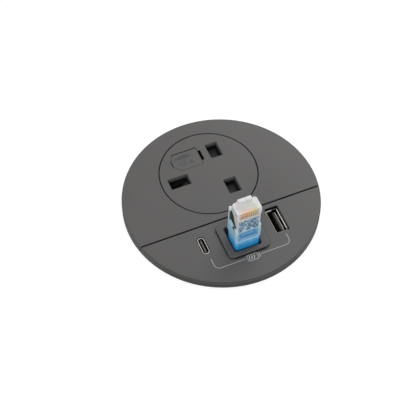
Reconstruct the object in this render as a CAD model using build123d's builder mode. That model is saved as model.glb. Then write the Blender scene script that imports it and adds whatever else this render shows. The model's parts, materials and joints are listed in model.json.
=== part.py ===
from build123d import *
import os
from math import atan2, cos, degrees, radians, sin

# Pop-up desk socket: a flush round desk module with a fused socket outlet, two USB ports
# and a square cable opening, out of which a data plug stands up.
# Millimetres. The origin is the centre of the flange's underside, which lies on the desk.
# +Z is up, +Y points to the power half and +X to the right along the split of the two covers.

os.makedirs("parts", exist_ok=True)

# Disc on the desk
DISC_R = 46.35
FLANGE_T = 1.7
COVER_T = 2.75
TOP = FLANGE_T + COVER_T
RIM_ROUND = 0.6
EDGE_ROUND = 0.2
BEVEL = 0.15
SPLIT_Y = -11.5
SPLIT_GAP = 0.7
LAP_T = 1.2
LAP_REACH = 1.1
LAP_HALF = 41.0

# Barrel through the desk
BARREL_R = 38.7
BARREL_WALL = 2.0
BARREL_DEPTH = 57.0
BORE_R = BARREL_R - BARREL_WALL
BASE_T = 3.0
KEY_WIDTH = 5.0
KEY_DEPTH = 0.9
THREAD_PITCH = 4.0
THREAD_H = 0.65
THREAD_TURNS = 11
THREAD_START = -53.0
THREAD_GAP = 4.2

# Clamp under the desk
DESK_T = 25.0
WASHER_T = 3.0
CLAMP_R = 45.2
CLAMP_GAP = 0.05
NUT_H = 12.0
NUT_HUB_R = 42.4
NUT_LUGS = 12

# Socket outlet, turned so that the earth pin is on the left
PIN_PITCH = 22.225
SOCKET_Y = 15.1
SOCKET_R = 23.6
SOCKET_GAP = 0.45
SOCKET_FACE_R = SOCKET_R - SOCKET_GAP
SOCKET_BASE_R = 22.9
LINE_X = 7.6
PINS_Y = 15.4
LIVE = (LINE_X, PINS_Y + PIN_PITCH / 2)
NEUTRAL = (LINE_X, PINS_Y - PIN_PITCH / 2)
EARTH = (LINE_X - PIN_PITCH, PINS_Y)
LINE_HOLE = (4.8, 7.2)
EARTH_HOLE = (8.8, 4.8)
LEAD_IN = 0.65
LEAD_IN_DEPTH = 2.2
COLLAR_WALL = 1.2
COLLAR_BOTTOM = -0.1
GRIP_GAP = 4.3
STRIP = 0.6
TAIL_W = 6.3
TAIL_END = -34.0

# Shutter across the live and neutral holes
SHUTTER_TOP = -0.2
SHUTTER_T = 1.8
SHUTTER_TRAVEL = 5.6
SLIDE_GAP = 0.1
CAVITY_FLOOR = SHUTTER_TOP - SHUTTER_T - SLIDE_GAP
BASE_BOTTOM = -28.5
BASE_TOP = FLANGE_T - 0.05

# Lift-out fuse
FUSE_R = 3.175
FUSE_LENGTH = 25.4
FUSE_CAP = 6.0
FUSE = (-7.2, 26.4)
FUSE_TOP = 0.8
FUSE_BOTTOM = FUSE_TOP - FUSE_LENGTH
CLIP_HALF = FUSE_R + 0.045
CLIP_T = 0.5
TAB = [(-12.5, 30.9), (0, 30.9), (0, 21.0), (-11.0, 21.0), (-14.0, 24.0), (-14.0, 27.6)]

# USB ports
USB_A = (18.5, -21.3)
USB_A_SHELL = (5.7, 13.1)
USB_A_MOUTH = TOP - 1.2
USB_C = (-18.2, -21.6)
USB_C_SHELL = (3.3, 9.0)
USB_C_MOUTH = TOP - 0.3
USB_WALL = 0.35
BOARD_TOP = -9.9
BOARD_T = 1.6

# Cable opening
INSERT_Y = -24.0
INSERT = (20.2, 19.0)
INSERT_H = 1.2
OPENING = (13.3, 14.0)
SLEEVE_WALL = 1.3
DUCT_INNER = (OPENING[0] + 2 * SLEEVE_WALL + 0.2, OPENING[1] + 2 * SLEEVE_WALL + 0.2)
DUCT_WALL = 1.1
SLEEVE_BOTTOM = -8.0

# Data plug standing in the opening: contact face to the front, latch behind
PLUG_W = 11.68
PLUG_FRONT = -29.4
PLUG_BACK = -23.0
PLUG_NOSE = TOP + 30.2
PLUG_TOP = TOP + 28.0
PLUG_BOTTOM = TOP + 6.5
CONTACT_PITCH = 1.02
BOOT_FRONT = -30.0
BOOT_BACK = -20.6
BOOT_HALF = 6.05
BOOT_TOP = TOP + 6.4
BOOT_BOTTOM = -16.0
CABLE_R = 3.0

# Screws
SCREW_R = 1.2
PILOT_R = 1.23
CLEAR_R = 1.45
HEAD_R = 2.3
HEAD_H = 1.5
LUG_H = 6.0
COVER_SCREWS = [(31.5, 11.5), (-31.5, 11.5), (12.6, -31.3), (-12.6, -31.3)]
SOCKET_SCREWS = [(-8.5, 3.5), (0.5, 34.0)]
BOARD_SCREWS = [(25.4, -20.6), (-25.4, -20.6)]
BASE_SCREW_R = 34.2
BASE_SCREWS = [
    (BASE_SCREW_R * cos(radians(a)), BASE_SCREW_R * sin(radians(a))) for a in (90, 210, 330)
]
BASE_BOSS_H = 10.0

# Power inlet in the base
INLET_Y = 18.0
INLET = (21.0, 12.4)
INLET_CAVITY = (18.4, 8.6)
INLET_DEPTH = 16.0
INLET_PINS = {"earth": -5.6, "live": 0.0, "neutral": 5.6}
INLET_PIN_R = 1.25
BASE_BOTTOM_FACE = -(BARREL_DEPTH + BASE_T)


def half_disc(radius, side):
    """A half of the disc, cut off half a split gap from the split line, on the sketch in hand."""
    Circle(radius)
    edge = SPLIT_Y + side * SPLIT_GAP / 2
    with Locations((0, edge)):
        growth = Align.MIN if side > 0 else Align.MAX
        Rectangle(3 * radius, 3 * radius, align=(Align.CENTER, growth), mode=Mode.INTERSECT)


def split_bevel(side):
    """Corner that is taken off a cover's top edge along the split, as points in Y and Z."""
    edge = SPLIT_Y + side * SPLIT_GAP / 2
    return [(edge - side, TOP - BEVEL - 1), (edge - side, TOP + 1), (edge + side * (BEVEL + 1), TOP + 1)]


# Thread of the barrel, right-handed, in half turns from one keyway to the other. Each half turn
# lies in a plane that leans by half a pitch over the barrel, and the next one leans the other way.
THREAD_LEAN = degrees(atan2(THREAD_PITCH / 2, 2 * BARREL_R))
with BuildPart() as half_turn:
    with BuildSketch(Plane.XZ) as thread_ridge:
        Polygon(
            (BARREL_R - 0.3, -0.85 * THREAD_PITCH),
            (BARREL_R + THREAD_H, 0),
            (BARREL_R - 0.3, 0.85 * THREAD_PITCH),
            align=None,
        )
    revolve(axis=Axis.Z, revolution_arc=180 - 2 * THREAD_GAP)
ridges = []
for number in range(2 * THREAD_TURNS):
    side = number % 2
    middle = THREAD_START + (number + 0.5) * THREAD_PITCH / 2
    lean = Location((0, 0, middle), (0, THREAD_LEAN * (1 - 2 * side), 0))
    ridges.append(half_turn.part.moved(lean * Rotation(0, 0, 180 * side + THREAD_GAP)))

# Housing: flange, barrel with a coarse thread, screw lugs for the covers and bosses for the base
with BuildPart() as housing:
    with BuildSketch() as flange_ring:
        Circle(DISC_R)
        Circle(BORE_R, mode=Mode.SUBTRACT)
    extrude(amount=FLANGE_T)
    with BuildSketch(Plane.XY.offset(-BARREL_DEPTH)) as barrel_ring:
        Circle(BARREL_R)
        Circle(BORE_R, mode=Mode.SUBTRACT)
    extrude(amount=BARREL_DEPTH)
    with BuildSketch() as lugs:
        with Locations(*COVER_SCREWS):
            Circle(3.2)
        for x, y in COVER_SCREWS:
            angle = degrees(atan2(y, x))
            with Locations((35.2 * cos(radians(angle)), 35.2 * sin(radians(angle)))):
                Rectangle(3.6, 6.4, rotation=angle)
    extrude(amount=-LUG_H)
    with BuildSketch(Plane.XY.offset(-BARREL_DEPTH)) as base_bosses:
        with Locations(*BASE_SCREWS):
            Circle(3.0)
    extrude(amount=BASE_BOSS_H)
    with BuildSketch() as lug_holes:
        with Locations(*COVER_SCREWS):
            RegularPolygon(CLEAR_R, 8)
    extrude(amount=-LUG_H, mode=Mode.SUBTRACT)
    with BuildSketch(Plane.XY.offset(-BARREL_DEPTH)) as base_pilots:
        with Locations(*BASE_SCREWS):
            RegularPolygon(PILOT_R, 8)
    extrude(amount=BASE_BOSS_H - 1, mode=Mode.SUBTRACT)
    add(ridges)
    with BuildSketch(Plane.XY.offset(-BARREL_DEPTH)) as keyways:
        with PolarLocations(BARREL_R, 2):
            Rectangle(2 * KEY_DEPTH, KEY_WIDTH)
    extrude(amount=BARREL_DEPTH - 2, mode=Mode.SUBTRACT)
    chamfer(housing.edges().filter_by(GeomType.CIRCLE).group_by(Axis.Z)[0].sort_by(SortBy.RADIUS)[-2:], 0.3)

# Base: closes the barrel, with the cable way and the inlet's window
with BuildPart() as base_cover:
    with BuildSketch(Plane.XY.offset(BASE_BOTTOM_FACE)) as base_outline:
        Circle(BARREL_R)
        with Locations((0, INSERT_Y)):
            RectangleRounded(*DUCT_INNER, 1.5, mode=Mode.SUBTRACT)
        with Locations((0, INLET_Y)):
            RectangleRounded(INLET[0] + 0.2, INLET[1] + 0.2, 1.0, mode=Mode.SUBTRACT)
    extrude(amount=BASE_T)
    with BuildSketch(Plane.XY.offset(BASE_BOTTOM_FACE)) as base_clearances:
        with Locations(*BASE_SCREWS):
            RegularPolygon(CLEAR_R, 8)
    extrude(amount=BASE_T, mode=Mode.SUBTRACT)
    with BuildSketch(Plane.XY.offset(BASE_BOTTOM_FACE)) as base_head_recesses:
        with Locations(*BASE_SCREWS):
            Circle(HEAD_R + 0.2)
    extrude(amount=HEAD_H + 0.2, mode=Mode.SUBTRACT)
    chamfer(base_cover.edges().filter_by(GeomType.CIRCLE).sort_by(SortBy.RADIUS)[-2:].sort_by(Axis.Z)[0], 0.8)

# Power cover: the larger half of the disc, with the round hole for the socket
with BuildPart() as power_cover:
    with BuildSketch(Plane.XY.offset(FLANGE_T)) as power_half:
        half_disc(DISC_R, 1)
    extrude(amount=COVER_T)
    power_rim = power_cover.edges().filter_by(GeomType.CIRCLE).group_by(Axis.Z)[-1]
    fillet(power_rim, RIM_ROUND)
    with Locations((0, SOCKET_Y, TOP)):
        Hole(SOCKET_R)
    chamfer(power_cover.edges().filter_by(GeomType.CIRCLE).group_by(Axis.Z)[-1].sort_by(SortBy.RADIUS)[0], BEVEL)
    with BuildSketch(Plane.YZ.offset(-DISC_R)) as power_split_bevel:
        Polygon(*split_bevel(1), align=None)
    extrude(amount=2 * DISC_R, mode=Mode.SUBTRACT)
    with BuildSketch(Plane.XY.offset(FLANGE_T)) as lap_recess:
        with Locations((0, SPLIT_Y)):
            Rectangle(2 * LAP_HALF + 0.6, 2 * LAP_REACH + 0.4)
    extrude(amount=LAP_T + 0.15, mode=Mode.SUBTRACT)
    with BuildSketch(Plane.XY.offset(FLANGE_T)) as power_pilots:
        with Locations(*COVER_SCREWS[:2]):
            RegularPolygon(PILOT_R, 8)
    extrude(amount=2.0, mode=Mode.SUBTRACT)
    with BuildSketch(Plane.XY.offset(FLANGE_T)) as power_shadow_line:
        Circle(DISC_R)
        Circle(DISC_R - 0.35, mode=Mode.SUBTRACT)
    extrude(amount=0.35, mode=Mode.SUBTRACT)

# Data cover: the smaller half, with the port slots, the square hole and screw bosses
with BuildPart() as data_cover:
    with BuildSketch(Plane.XY.offset(FLANGE_T)) as data_half:
        half_disc(DISC_R, -1)
    extrude(amount=COVER_T)
    data_rim = data_cover.edges().filter_by(GeomType.CIRCLE).group_by(Axis.Z)[-1]
    fillet(data_rim, RIM_ROUND)
    with BuildSketch(Plane.YZ.offset(-DISC_R)) as data_split_bevel:
        Polygon(*split_bevel(-1), align=None)
    extrude(amount=2 * DISC_R, mode=Mode.SUBTRACT)
    with BuildSketch(Plane.XY.offset(FLANGE_T)) as lap_tongue:
        with Locations((0, SPLIT_Y)):
            Rectangle(2 * LAP_HALF, 2 * LAP_REACH)
    extrude(amount=LAP_T)
    with BuildSketch(Plane.XY.offset(FLANGE_T)) as bosses:
        with Locations(*COVER_SCREWS[2:]):
            RegularPolygon(2.7, 8)
    extrude(amount=-FLANGE_T)
    with BuildSketch(Plane.XY.offset(FLANGE_T)) as board_posts:
        with Locations(*BOARD_SCREWS):
            RegularPolygon(2.4, 8)
    extrude(amount=BOARD_TOP - FLANGE_T)
    with BuildSketch() as data_pilots:
        with Locations(*COVER_SCREWS[2:]):
            RegularPolygon(PILOT_R, 8)
    extrude(amount=3.7, mode=Mode.SUBTRACT)
    with BuildSketch(Plane.XY.offset(BOARD_TOP)) as post_pilots:
        with Locations(*BOARD_SCREWS):
            RegularPolygon(PILOT_R, 8)
    extrude(amount=7.0, mode=Mode.SUBTRACT)
    with BuildSketch(Plane.XY.offset(FLANGE_T)) as port_slots:
        with Locations(USB_A):
            RectangleRounded(USB_A_SHELL[0] + 0.6, USB_A_SHELL[1] + 1.1, 0.4)
        with Locations(USB_C):
            RectangleRounded(USB_C_SHELL[0] + 0.7, USB_C_SHELL[1] + 0.7, 1.9)
        with Locations((0, INSERT_Y)):
            Rectangle(DUCT_INNER[0], DUCT_INNER[1])
    extrude(amount=COVER_T, mode=Mode.SUBTRACT)
    with BuildSketch(Plane.XY.offset(FLANGE_T)) as data_shadow_line:
        Circle(DISC_R)
        Circle(DISC_R - 0.35, mode=Mode.SUBTRACT)
    extrude(amount=0.35, mode=Mode.SUBTRACT)

# Socket face: round insert with three shuttered pin holes and the window of the fuse carrier
with BuildPart() as socket_face:
    with BuildSketch(Plane.XY.offset(BASE_TOP + 0.1)) as face_disc:
        with Locations((0, SOCKET_Y)):
            Circle(SOCKET_FACE_R)
    extrude(amount=TOP - BASE_TOP - 0.1)
    chamfer(socket_face.edges().group_by(Axis.Z)[-1], BEVEL)
    with BuildSketch(Plane.XY.offset(COLLAR_BOTTOM)) as collars:
        with Locations(LIVE, NEUTRAL):
            Rectangle(LINE_HOLE[0] + 2 * COLLAR_WALL, LINE_HOLE[1] + 2 * COLLAR_WALL)
        with Locations(EARTH):
            Rectangle(EARTH_HOLE[0] + 2 * COLLAR_WALL, EARTH_HOLE[1] + 2 * COLLAR_WALL)
        with Locations(*SOCKET_SCREWS):
            RegularPolygon(2.4, 8)
    extrude(amount=BASE_TOP + 0.1 - COLLAR_BOTTOM)
    with BuildSketch(Plane.XY.offset(COLLAR_BOTTOM)) as pin_holes:
        with Locations(LIVE, NEUTRAL):
            Rectangle(*LINE_HOLE)
        with Locations(EARTH):
            Rectangle(*EARTH_HOLE)
    extrude(amount=TOP - COLLAR_BOTTOM, mode=Mode.SUBTRACT)
    for centre, (width, depth) in ((LIVE, LINE_HOLE), (NEUTRAL, LINE_HOLE), (EARTH, EARTH_HOLE)):
        with BuildSketch(Plane.XY.offset(TOP - LEAD_IN_DEPTH)) as funnel_bottom:
            with Locations(centre):
                Rectangle(width, depth)
        with BuildSketch(Plane.XY.offset(TOP)) as funnel_top:
            with Locations(centre):
                Rectangle(width + 2 * LEAD_IN, depth + 2 * LEAD_IN)
        loft(mode=Mode.SUBTRACT)
    with BuildSketch(Plane.XY.offset(BASE_TOP)) as carrier_window:
        Polygon(*TAB, align=None)
        fillet(carrier_window.vertices(), 0.6)
        offset(amount=0.15)
    extrude(amount=TOP - BASE_TOP, mode=Mode.SUBTRACT)
    with BuildSketch(Plane.XY.offset(BASE_TOP)) as pry_slot:
        with Locations((0.75, 26.0)):
            Rectangle(1.3, 6.0)
    extrude(amount=TOP - BASE_TOP, mode=Mode.SUBTRACT)
    with BuildSketch(Plane.XY.offset(COLLAR_BOTTOM)) as face_pilots:
        with Locations(*SOCKET_SCREWS):
            RegularPolygon(PILOT_R, 8)
    extrude(amount=3.5, mode=Mode.SUBTRACT)

# Socket base: moulding with a pocket for each contact, the shutter's slideway and the fuse well
with BuildPart() as socket_base:
    with BuildSketch(Plane.XY.offset(BASE_BOTTOM)) as base_drum:
        with Locations((0, SOCKET_Y)):
            Circle(SOCKET_BASE_R)
        Circle(BORE_R - 0.3, mode=Mode.INTERSECT)
    extrude(amount=BASE_TOP - BASE_BOTTOM)
    with BuildSketch(Plane.XY.offset(0.05)) as base_ears:
        with Locations((0, SOCKET_Y)):
            Circle(SOCKET_R + 2.2)
        with Locations((0, COVER_SCREWS[0][1])):
            SlotCenterToCenter(2 * COVER_SCREWS[0][0], 6.4)
        Circle(BORE_R - 0.3, mode=Mode.INTERSECT)
    extrude(amount=BASE_TOP - 0.05)
    with BuildSketch(Plane.XY.offset(CAVITY_FLOOR)) as slideway:
        with Locations((10.45, PINS_Y)):
            Rectangle(11.7, 30.8)
        with Locations((-2.0, 15.3)):
            Rectangle(14.0, 4.8)
    extrude(amount=BASE_TOP - CAVITY_FLOOR, mode=Mode.SUBTRACT)
    with BuildSketch(Plane.XY.offset(-2.75)) as spring_channel:
        with Locations((15.6, PINS_Y)):
            Rectangle(10.8, 3.5)
    extrude(amount=BASE_TOP + 2.75, mode=Mode.SUBTRACT)
    with BuildSketch(Plane.XY.offset(COLLAR_BOTTOM - 0.1)) as collar_recesses:
        with Locations(LIVE, NEUTRAL):
            Rectangle(LINE_HOLE[0] + 2 * COLLAR_WALL + 0.3, LINE_HOLE[1] + 2 * COLLAR_WALL + 0.3)
        with Locations(EARTH):
            Rectangle(EARTH_HOLE[0] + 2 * COLLAR_WALL + 0.3, EARTH_HOLE[1] + 2 * COLLAR_WALL + 0.3)
        with Locations(*SOCKET_SCREWS):
            RegularPolygon(2.55, 8)
    extrude(amount=BASE_TOP - COLLAR_BOTTOM + 0.1, mode=Mode.SUBTRACT)
    with BuildSketch(Plane.XY.offset(CAVITY_FLOOR)) as line_wells:
        with Locations(LIVE, NEUTRAL):
            Rectangle(7.4, 7.2)
    extrude(amount=-14.4, mode=Mode.SUBTRACT)
    with BuildSketch(Plane.XY.offset(COLLAR_BOTTOM)) as earth_well:
        with Locations(EARTH):
            Rectangle(9.4, 6.8)
    extrude(amount=-20.4, mode=Mode.SUBTRACT)
    with BuildSketch(Plane.XY.offset(-7.2)) as ramp_way:
        with Locations((-9.6, 15.3)):
            Rectangle(13.0, 4.8)
    extrude(amount=7.2, mode=Mode.SUBTRACT)
    with BuildSketch(Plane.XY.offset(FUSE_BOTTOM - 1.6)) as fuse_well:
        with Locations((FUSE[0], 26.7)):
            Rectangle(8.4, 9.6)
    extrude(amount=BASE_TOP - FUSE_BOTTOM + 1.6, mode=Mode.SUBTRACT)
    with BuildSketch(Plane.XY.offset(BASE_TOP)) as link_slot:
        with Locations((0.4, 27.0)):
            Rectangle(8.4, 1.2)
    extrude(amount=-6.85, mode=Mode.SUBTRACT)
    with BuildSketch(Plane.XY.offset(BASE_BOTTOM)) as tail_slots:
        with Locations(LIVE, NEUTRAL):
            Rectangle(1.2, TAIL_W + 0.4)
        with Locations(EARTH):
            Rectangle(TAIL_W + 0.4, 1.2)
        with Locations((FUSE[0], 22.55)):
            Rectangle(TAIL_W + 0.4, 0.9)
    extrude(amount=14, mode=Mode.SUBTRACT)
    with BuildSketch(Plane.XY.offset(BASE_BOTTOM)) as screw_holes:
        with Locations(*SOCKET_SCREWS):
            RegularPolygon(CLEAR_R, 8)
    extrude(amount=30, mode=Mode.SUBTRACT)
    with BuildSketch() as ear_holes:
        with Locations(*COVER_SCREWS[:2]):
            RegularPolygon(CLEAR_R, 8)
    extrude(amount=BASE_TOP, mode=Mode.SUBTRACT)

# Shutter: bar across the live and neutral holes, with an arm that ends in a ramp under the earth hole
with BuildPart() as shutter:
    with BuildSketch(Plane.XY.offset(SHUTTER_TOP - SHUTTER_T)) as shutter_plan:
        with Locations((7.6, PINS_Y)):
            Rectangle(5.8, 30.4)
        chamfer(shutter_plan.vertices().sort_by(Axis.X)[-2:], 1.0)
        with Locations((-2.6, 15.3)):
            Rectangle(15.2, 4.4)
    extrude(amount=SHUTTER_T)
    with BuildSketch(Plane.XZ.offset(-17.5)) as ramp:
        Polygon((-15.8, -5.8), (-10.2, SHUTTER_TOP), (-9.0, SHUTTER_TOP), (-9.0, -7.0), (-15.8, -7.0), align=None)
    extrude(amount=4.4)
    with BuildSketch(Plane.XY.offset(SHUTTER_TOP)) as spring_pad:
        with Locations((9.6, PINS_Y)):
            Rectangle(1.8, 3.0)
    extrude(amount=0.6)

# Return spring of the shutter: half turns, each a half circle that leans by half a pitch
SPRING_WIRE = 0.4
SPRING_R = 1.15
SPRING_START = 10.6
SPRING_END = 20.85
SPRING_TURNS = 4
SPRING_Z = -1.2
SPRING_STEP = (SPRING_END - SPRING_START - SPRING_WIRE) / (2 * SPRING_TURNS)
SPRING_BULGE = (SPRING_R**2 + (SPRING_STEP / 2) ** 2) ** 0.5
with BuildPart() as shutter_spring:
    with BuildLine() as spring_path:
        for half_turn in range(2 * SPRING_TURNS):
            start_x = SPRING_START + SPRING_WIRE / 2 + half_turn * SPRING_STEP
            side = 1 if half_turn % 2 == 0 else -1
            ThreePointArc(
                (start_x, PINS_Y + side * SPRING_R, SPRING_Z),
                (start_x + SPRING_STEP / 2, PINS_Y, SPRING_Z + side * SPRING_BULGE),
                (start_x + SPRING_STEP, PINS_Y - side * SPRING_R, SPRING_Z),
            )
    with BuildSketch(spring_path.line ^ 0) as wire_section:
        Rectangle(SPRING_WIRE, SPRING_WIRE)
    sweep()


def grip(centre, top, bottom, along_y):
    """A U of spring strip that grips a flat pin, flared at its mouth, with a tail below."""
    half = GRIP_GAP / 2 + STRIP / 2
    length = 6.2 if along_y else 8.0
    plane = Plane.XZ if along_y else Plane.YZ
    origin = Vector(centre[0], centre[1] + length / 2) if along_y else Vector(centre[0] - length / 2, centre[1])
    face = Plane(origin=(origin.X, origin.Y, 0), x_dir=plane.x_dir, z_dir=plane.z_dir)
    with BuildPart() as contact:
        with BuildSketch(face) as profile:
            with BuildLine():
                FilletPolyline(
                    (-half - 0.5, top),
                    (-half, top - 1.6),
                    (-half, bottom + STRIP / 2),
                    (half, bottom + STRIP / 2),
                    (half, top - 1.6),
                    (half + 0.5, top),
                    radius=0.5,
                )
            trace(line_width=STRIP)
        extrude(amount=length)
        with BuildSketch(Plane.XY.offset(bottom + STRIP / 2)):
            with Locations(centre):
                Rectangle(*((0.8, TAIL_W) if along_y else (TAIL_W, 0.8)))
        extrude(amount=TAIL_END - bottom - STRIP / 2)
    return contact


def fuse_clip_outline():
    """Plan of a U clip that grips a cap of the fuse, open to the back, on the sketch in hand."""
    with Locations((FUSE[0], 28.6)):
        Rectangle(2 * (CLIP_HALF + CLIP_T), 6.3, align=(Align.CENTER, Align.MAX))
        Rectangle(2 * CLIP_HALF, 6.3 - CLIP_T, align=(Align.CENTER, Align.MAX), mode=Mode.SUBTRACT)


# Contacts of the socket
neutral_contact = grip(NEUTRAL, -2.7, -16.0, True)
earth_contact = grip(EARTH, -7.6, -20.2, False)
with BuildPart() as live_contact:
    add(grip(LIVE, -2.7, -16.0, True).part)
    with BuildSketch(Plane.XY.offset(-5.2)) as upper_clip:
        fuse_clip_outline()
    extrude(amount=4.6)
    with BuildSketch(Plane.XY.offset(-5.1)) as link_strip:
        with Locations((-3.6, 27.0)):
            Rectangle(8.6, CLIP_T, align=(Align.MIN, Align.CENTER))
    extrude(amount=2.4)
with BuildPart() as line_clip:
    with BuildSketch(Plane.XY.offset(FUSE_BOTTOM + 0.2)) as lower_clip:
        fuse_clip_outline()
    extrude(amount=5.0)
    with BuildSketch(Plane.XY.offset(FUSE_BOTTOM + 0.2)) as line_tail:
        with Locations((FUSE[0], 22.55)):
            Rectangle(TAIL_W, CLIP_T)
    extrude(amount=TAIL_END - FUSE_BOTTOM - 0.2)

# Fuse carrier: flush tab, spine behind the fuse and a foot under it
with BuildPart() as fuse_carrier:
    with BuildSketch(Plane.XY.offset(FUSE_TOP + 1.1)) as tab_outline:
        Polygon(*TAB, align=None)
        fillet(tab_outline.vertices(), 0.6)
    extrude(amount=TOP - FUSE_TOP - 1.1)
    chamfer(fuse_carrier.edges().group_by(Axis.Z)[-1], BEVEL)
    with BuildSketch(Plane.XY.offset(FUSE_TOP)) as carrier_neck:
        with Locations((FUSE[0], 31.0)):
            Rectangle(7.0, 8.0, align=(Align.CENTER, Align.MAX))
    extrude(amount=1.2)
    with BuildSketch(Plane.XY.offset(FUSE_BOTTOM - 1.4)) as spine:
        with Locations((FUSE[0], 31.0)):
            Rectangle(6.0, 1.2, align=(Align.CENTER, Align.MAX))
    extrude(amount=FUSE_LENGTH + 1.5)
    with BuildSketch(Plane.XY.offset(FUSE_BOTTOM - 1.4)) as foot:
        with Locations((FUSE[0], 31.0)):
            Rectangle(6.0, 7.6, align=(Align.CENTER, Align.MAX))
    extrude(amount=1.4)

# Cartridge fuse: ceramic tube and its two caps
with BuildPart() as fuse_tube:
    with BuildSketch(Plane.XY.offset(FUSE_BOTTOM + FUSE_CAP)) as tube_outline:
        with Locations(FUSE):
            Circle(FUSE_R - 0.25)
    extrude(amount=FUSE_LENGTH - 2 * FUSE_CAP)
with BuildPart() as fuse_caps:
    for cap_bottom in (FUSE_BOTTOM, FUSE_TOP - FUSE_CAP):
        with BuildSketch(Plane.XY.offset(cap_bottom)) as cap_outline:
            with Locations(FUSE):
                Circle(FUSE_R)
        extrude(amount=FUSE_CAP)


def port_shell(centre, size, mouth, corner):
    """Drawn steel tube of a USB port, with a rounded section."""
    with BuildPart() as shell:
        with BuildSketch(Plane.XY.offset(BOARD_TOP)):
            with Locations(centre):
                RectangleRounded(*size, corner)
                RectangleRounded(
                    size[0] - 2 * USB_WALL, size[1] - 2 * USB_WALL, corner - USB_WALL, mode=Mode.SUBTRACT
                )
        extrude(amount=mouth - BOARD_TOP)
    return shell


# USB ports
usb_a_shell = port_shell(USB_A, USB_A_SHELL, USB_A_MOUTH, 0.6)
usb_c_shell = port_shell(USB_C, USB_C_SHELL, USB_C_MOUTH, 1.6)
with BuildPart() as usb_a_tongue:
    with BuildSketch(Plane.XY.offset(BOARD_TOP)) as usb_a_block:
        with Locations(USB_A):
            Rectangle(USB_A_SHELL[0] - 2 * USB_WALL - 0.3, USB_A_SHELL[1] - 2 * USB_WALL - 0.3)
    extrude(amount=2.5)
    with BuildSketch(Plane.XY.offset(BOARD_TOP + 2.5)) as usb_a_blade:
        with Locations((USB_A[0] + 0.9, USB_A[1])):
            Rectangle(1.84, 11.1)
    extrude(amount=USB_A_MOUTH - 1.0 - BOARD_TOP - 2.5)
    chamfer(usb_a_tongue.edges().group_by(Axis.Z)[-1], 0.3)
with BuildPart() as usb_c_tongue:
    with BuildSketch(Plane.XY.offset(BOARD_TOP)) as usb_c_block:
        with Locations(USB_C):
            RectangleRounded(USB_C_SHELL[0] - 0.8, USB_C_SHELL[1] - 0.8, 1.1)
    extrude(amount=6.5)
    with BuildSketch(Plane.XY.offset(BOARD_TOP + 6.5)) as usb_c_blade:
        with Locations(USB_C):
            Rectangle(0.7, 6.7)
    extrude(amount=USB_C_MOUTH - 0.4 - BOARD_TOP - 6.5)

# Charger: board around the cable duct, with its transformer, capacitors and coil
with BuildPart() as charger_board:
    with BuildSketch(Plane.XY.offset(BOARD_TOP - BOARD_T)) as board_outline:
        Circle(BORE_R - 1.2)
        with Locations((0, -13.2)):
            Rectangle(100, 60, align=(Align.CENTER, Align.MAX), mode=Mode.INTERSECT)
        with Locations((0, INSERT_Y - 6)):
            Rectangle(DUCT_INNER[0] + 2 * DUCT_WALL + 0.8, DUCT_INNER[1] + 14.8, mode=Mode.SUBTRACT)
        with Locations(*BOARD_SCREWS):
            RegularPolygon(CLEAR_R, 8, mode=Mode.SUBTRACT)
        with Locations((0, -13.05)):
            Rectangle(24, 2.5)
    extrude(amount=BOARD_T)
BOARD_BOTTOM = BOARD_TOP - BOARD_T
CORE = (16.6, -20.6)
CORE_SIZE = (13.0, 13.6)
COIL_SIZE = (7.8, 13.4)
COIL_H = 12.0
with BuildPart() as transformer_coil:
    with BuildSketch(Plane.XY.offset(BOARD_BOTTOM)) as coil_plan:
        with Locations(CORE):
            RectangleRounded(*COIL_SIZE, 1.5)
    extrude(amount=-COIL_H)
    with BuildSketch(Plane.XY.offset(BOARD_BOTTOM - 2)) as coil_window:
        with Locations(CORE):
            Rectangle(COIL_SIZE[0] + 1, 5.1)
    extrude(amount=4 - COIL_H, mode=Mode.SUBTRACT)
with BuildPart() as transformer_core:
    with BuildSketch(Plane.XY.offset(BOARD_BOTTOM - 2.05)) as core_plan:
        with Locations(CORE):
            Rectangle(*CORE_SIZE)
            Rectangle(COIL_SIZE[0] + 0.2, CORE_SIZE[1] + 1, mode=Mode.SUBTRACT)
            Rectangle(CORE_SIZE[0], 5.0)
    extrude(amount=4.1 - COIL_H)
CAPACITORS = ((-17.0, -20.4, 5.0, 16.0), (-13.3, -29.4, 2.5, 9.0), (29.0, -15.5, 2.0, 7.0))
with BuildPart() as capacitors:
    for x, y, radius, height in CAPACITORS:
        with BuildSketch(Plane.XY.offset(BOARD_BOTTOM)):
            with Locations((x, y)):
                Circle(radius)
        extrude(amount=-height)

# Cable insert: raised square frame with a sleeve through the cover
with BuildPart() as cable_insert:
    with BuildSketch(Plane.XY.offset(TOP)) as frame_outline:
        with Locations((0, INSERT_Y)):
            RectangleRounded(*INSERT, 2.0)
    extrude(amount=INSERT_H)
    chamfer(cable_insert.edges().group_by(Axis.Z)[-1], 0.35)
    with BuildSketch(Plane.XY.offset(SLEEVE_BOTTOM)) as sleeve:
        with Locations((0, INSERT_Y)):
            RectangleRounded(OPENING[0] + 2 * SLEEVE_WALL, OPENING[1] + 2 * SLEEVE_WALL, 1.5)
    extrude(amount=TOP - SLEEVE_BOTTOM)
    with BuildSketch(Plane.XY.offset(SLEEVE_BOTTOM)) as opening:
        with Locations((0, INSERT_Y)):
            RectangleRounded(*OPENING, 1.2)
    extrude(amount=TOP + INSERT_H - SLEEVE_BOTTOM, mode=Mode.SUBTRACT)
    chamfer(cable_insert.edges().group_by(Axis.Z)[-1].sort_by(SortBy.DISTANCE)[:8], 0.25)

# Cable duct: keeps the data cable apart from the mains parts, from the cover down to the base
with BuildPart() as cable_duct:
    with BuildSketch(Plane.XY.offset(-BARREL_DEPTH)) as duct_outline:
        with Locations((0, INSERT_Y)):
            RectangleRounded(DUCT_INNER[0] + 2 * DUCT_WALL, DUCT_INNER[1] + 2 * DUCT_WALL, 1.6)
            RectangleRounded(*DUCT_INNER, 0.6, mode=Mode.SUBTRACT)
    extrude(amount=BARREL_DEPTH + FLANGE_T)

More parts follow.
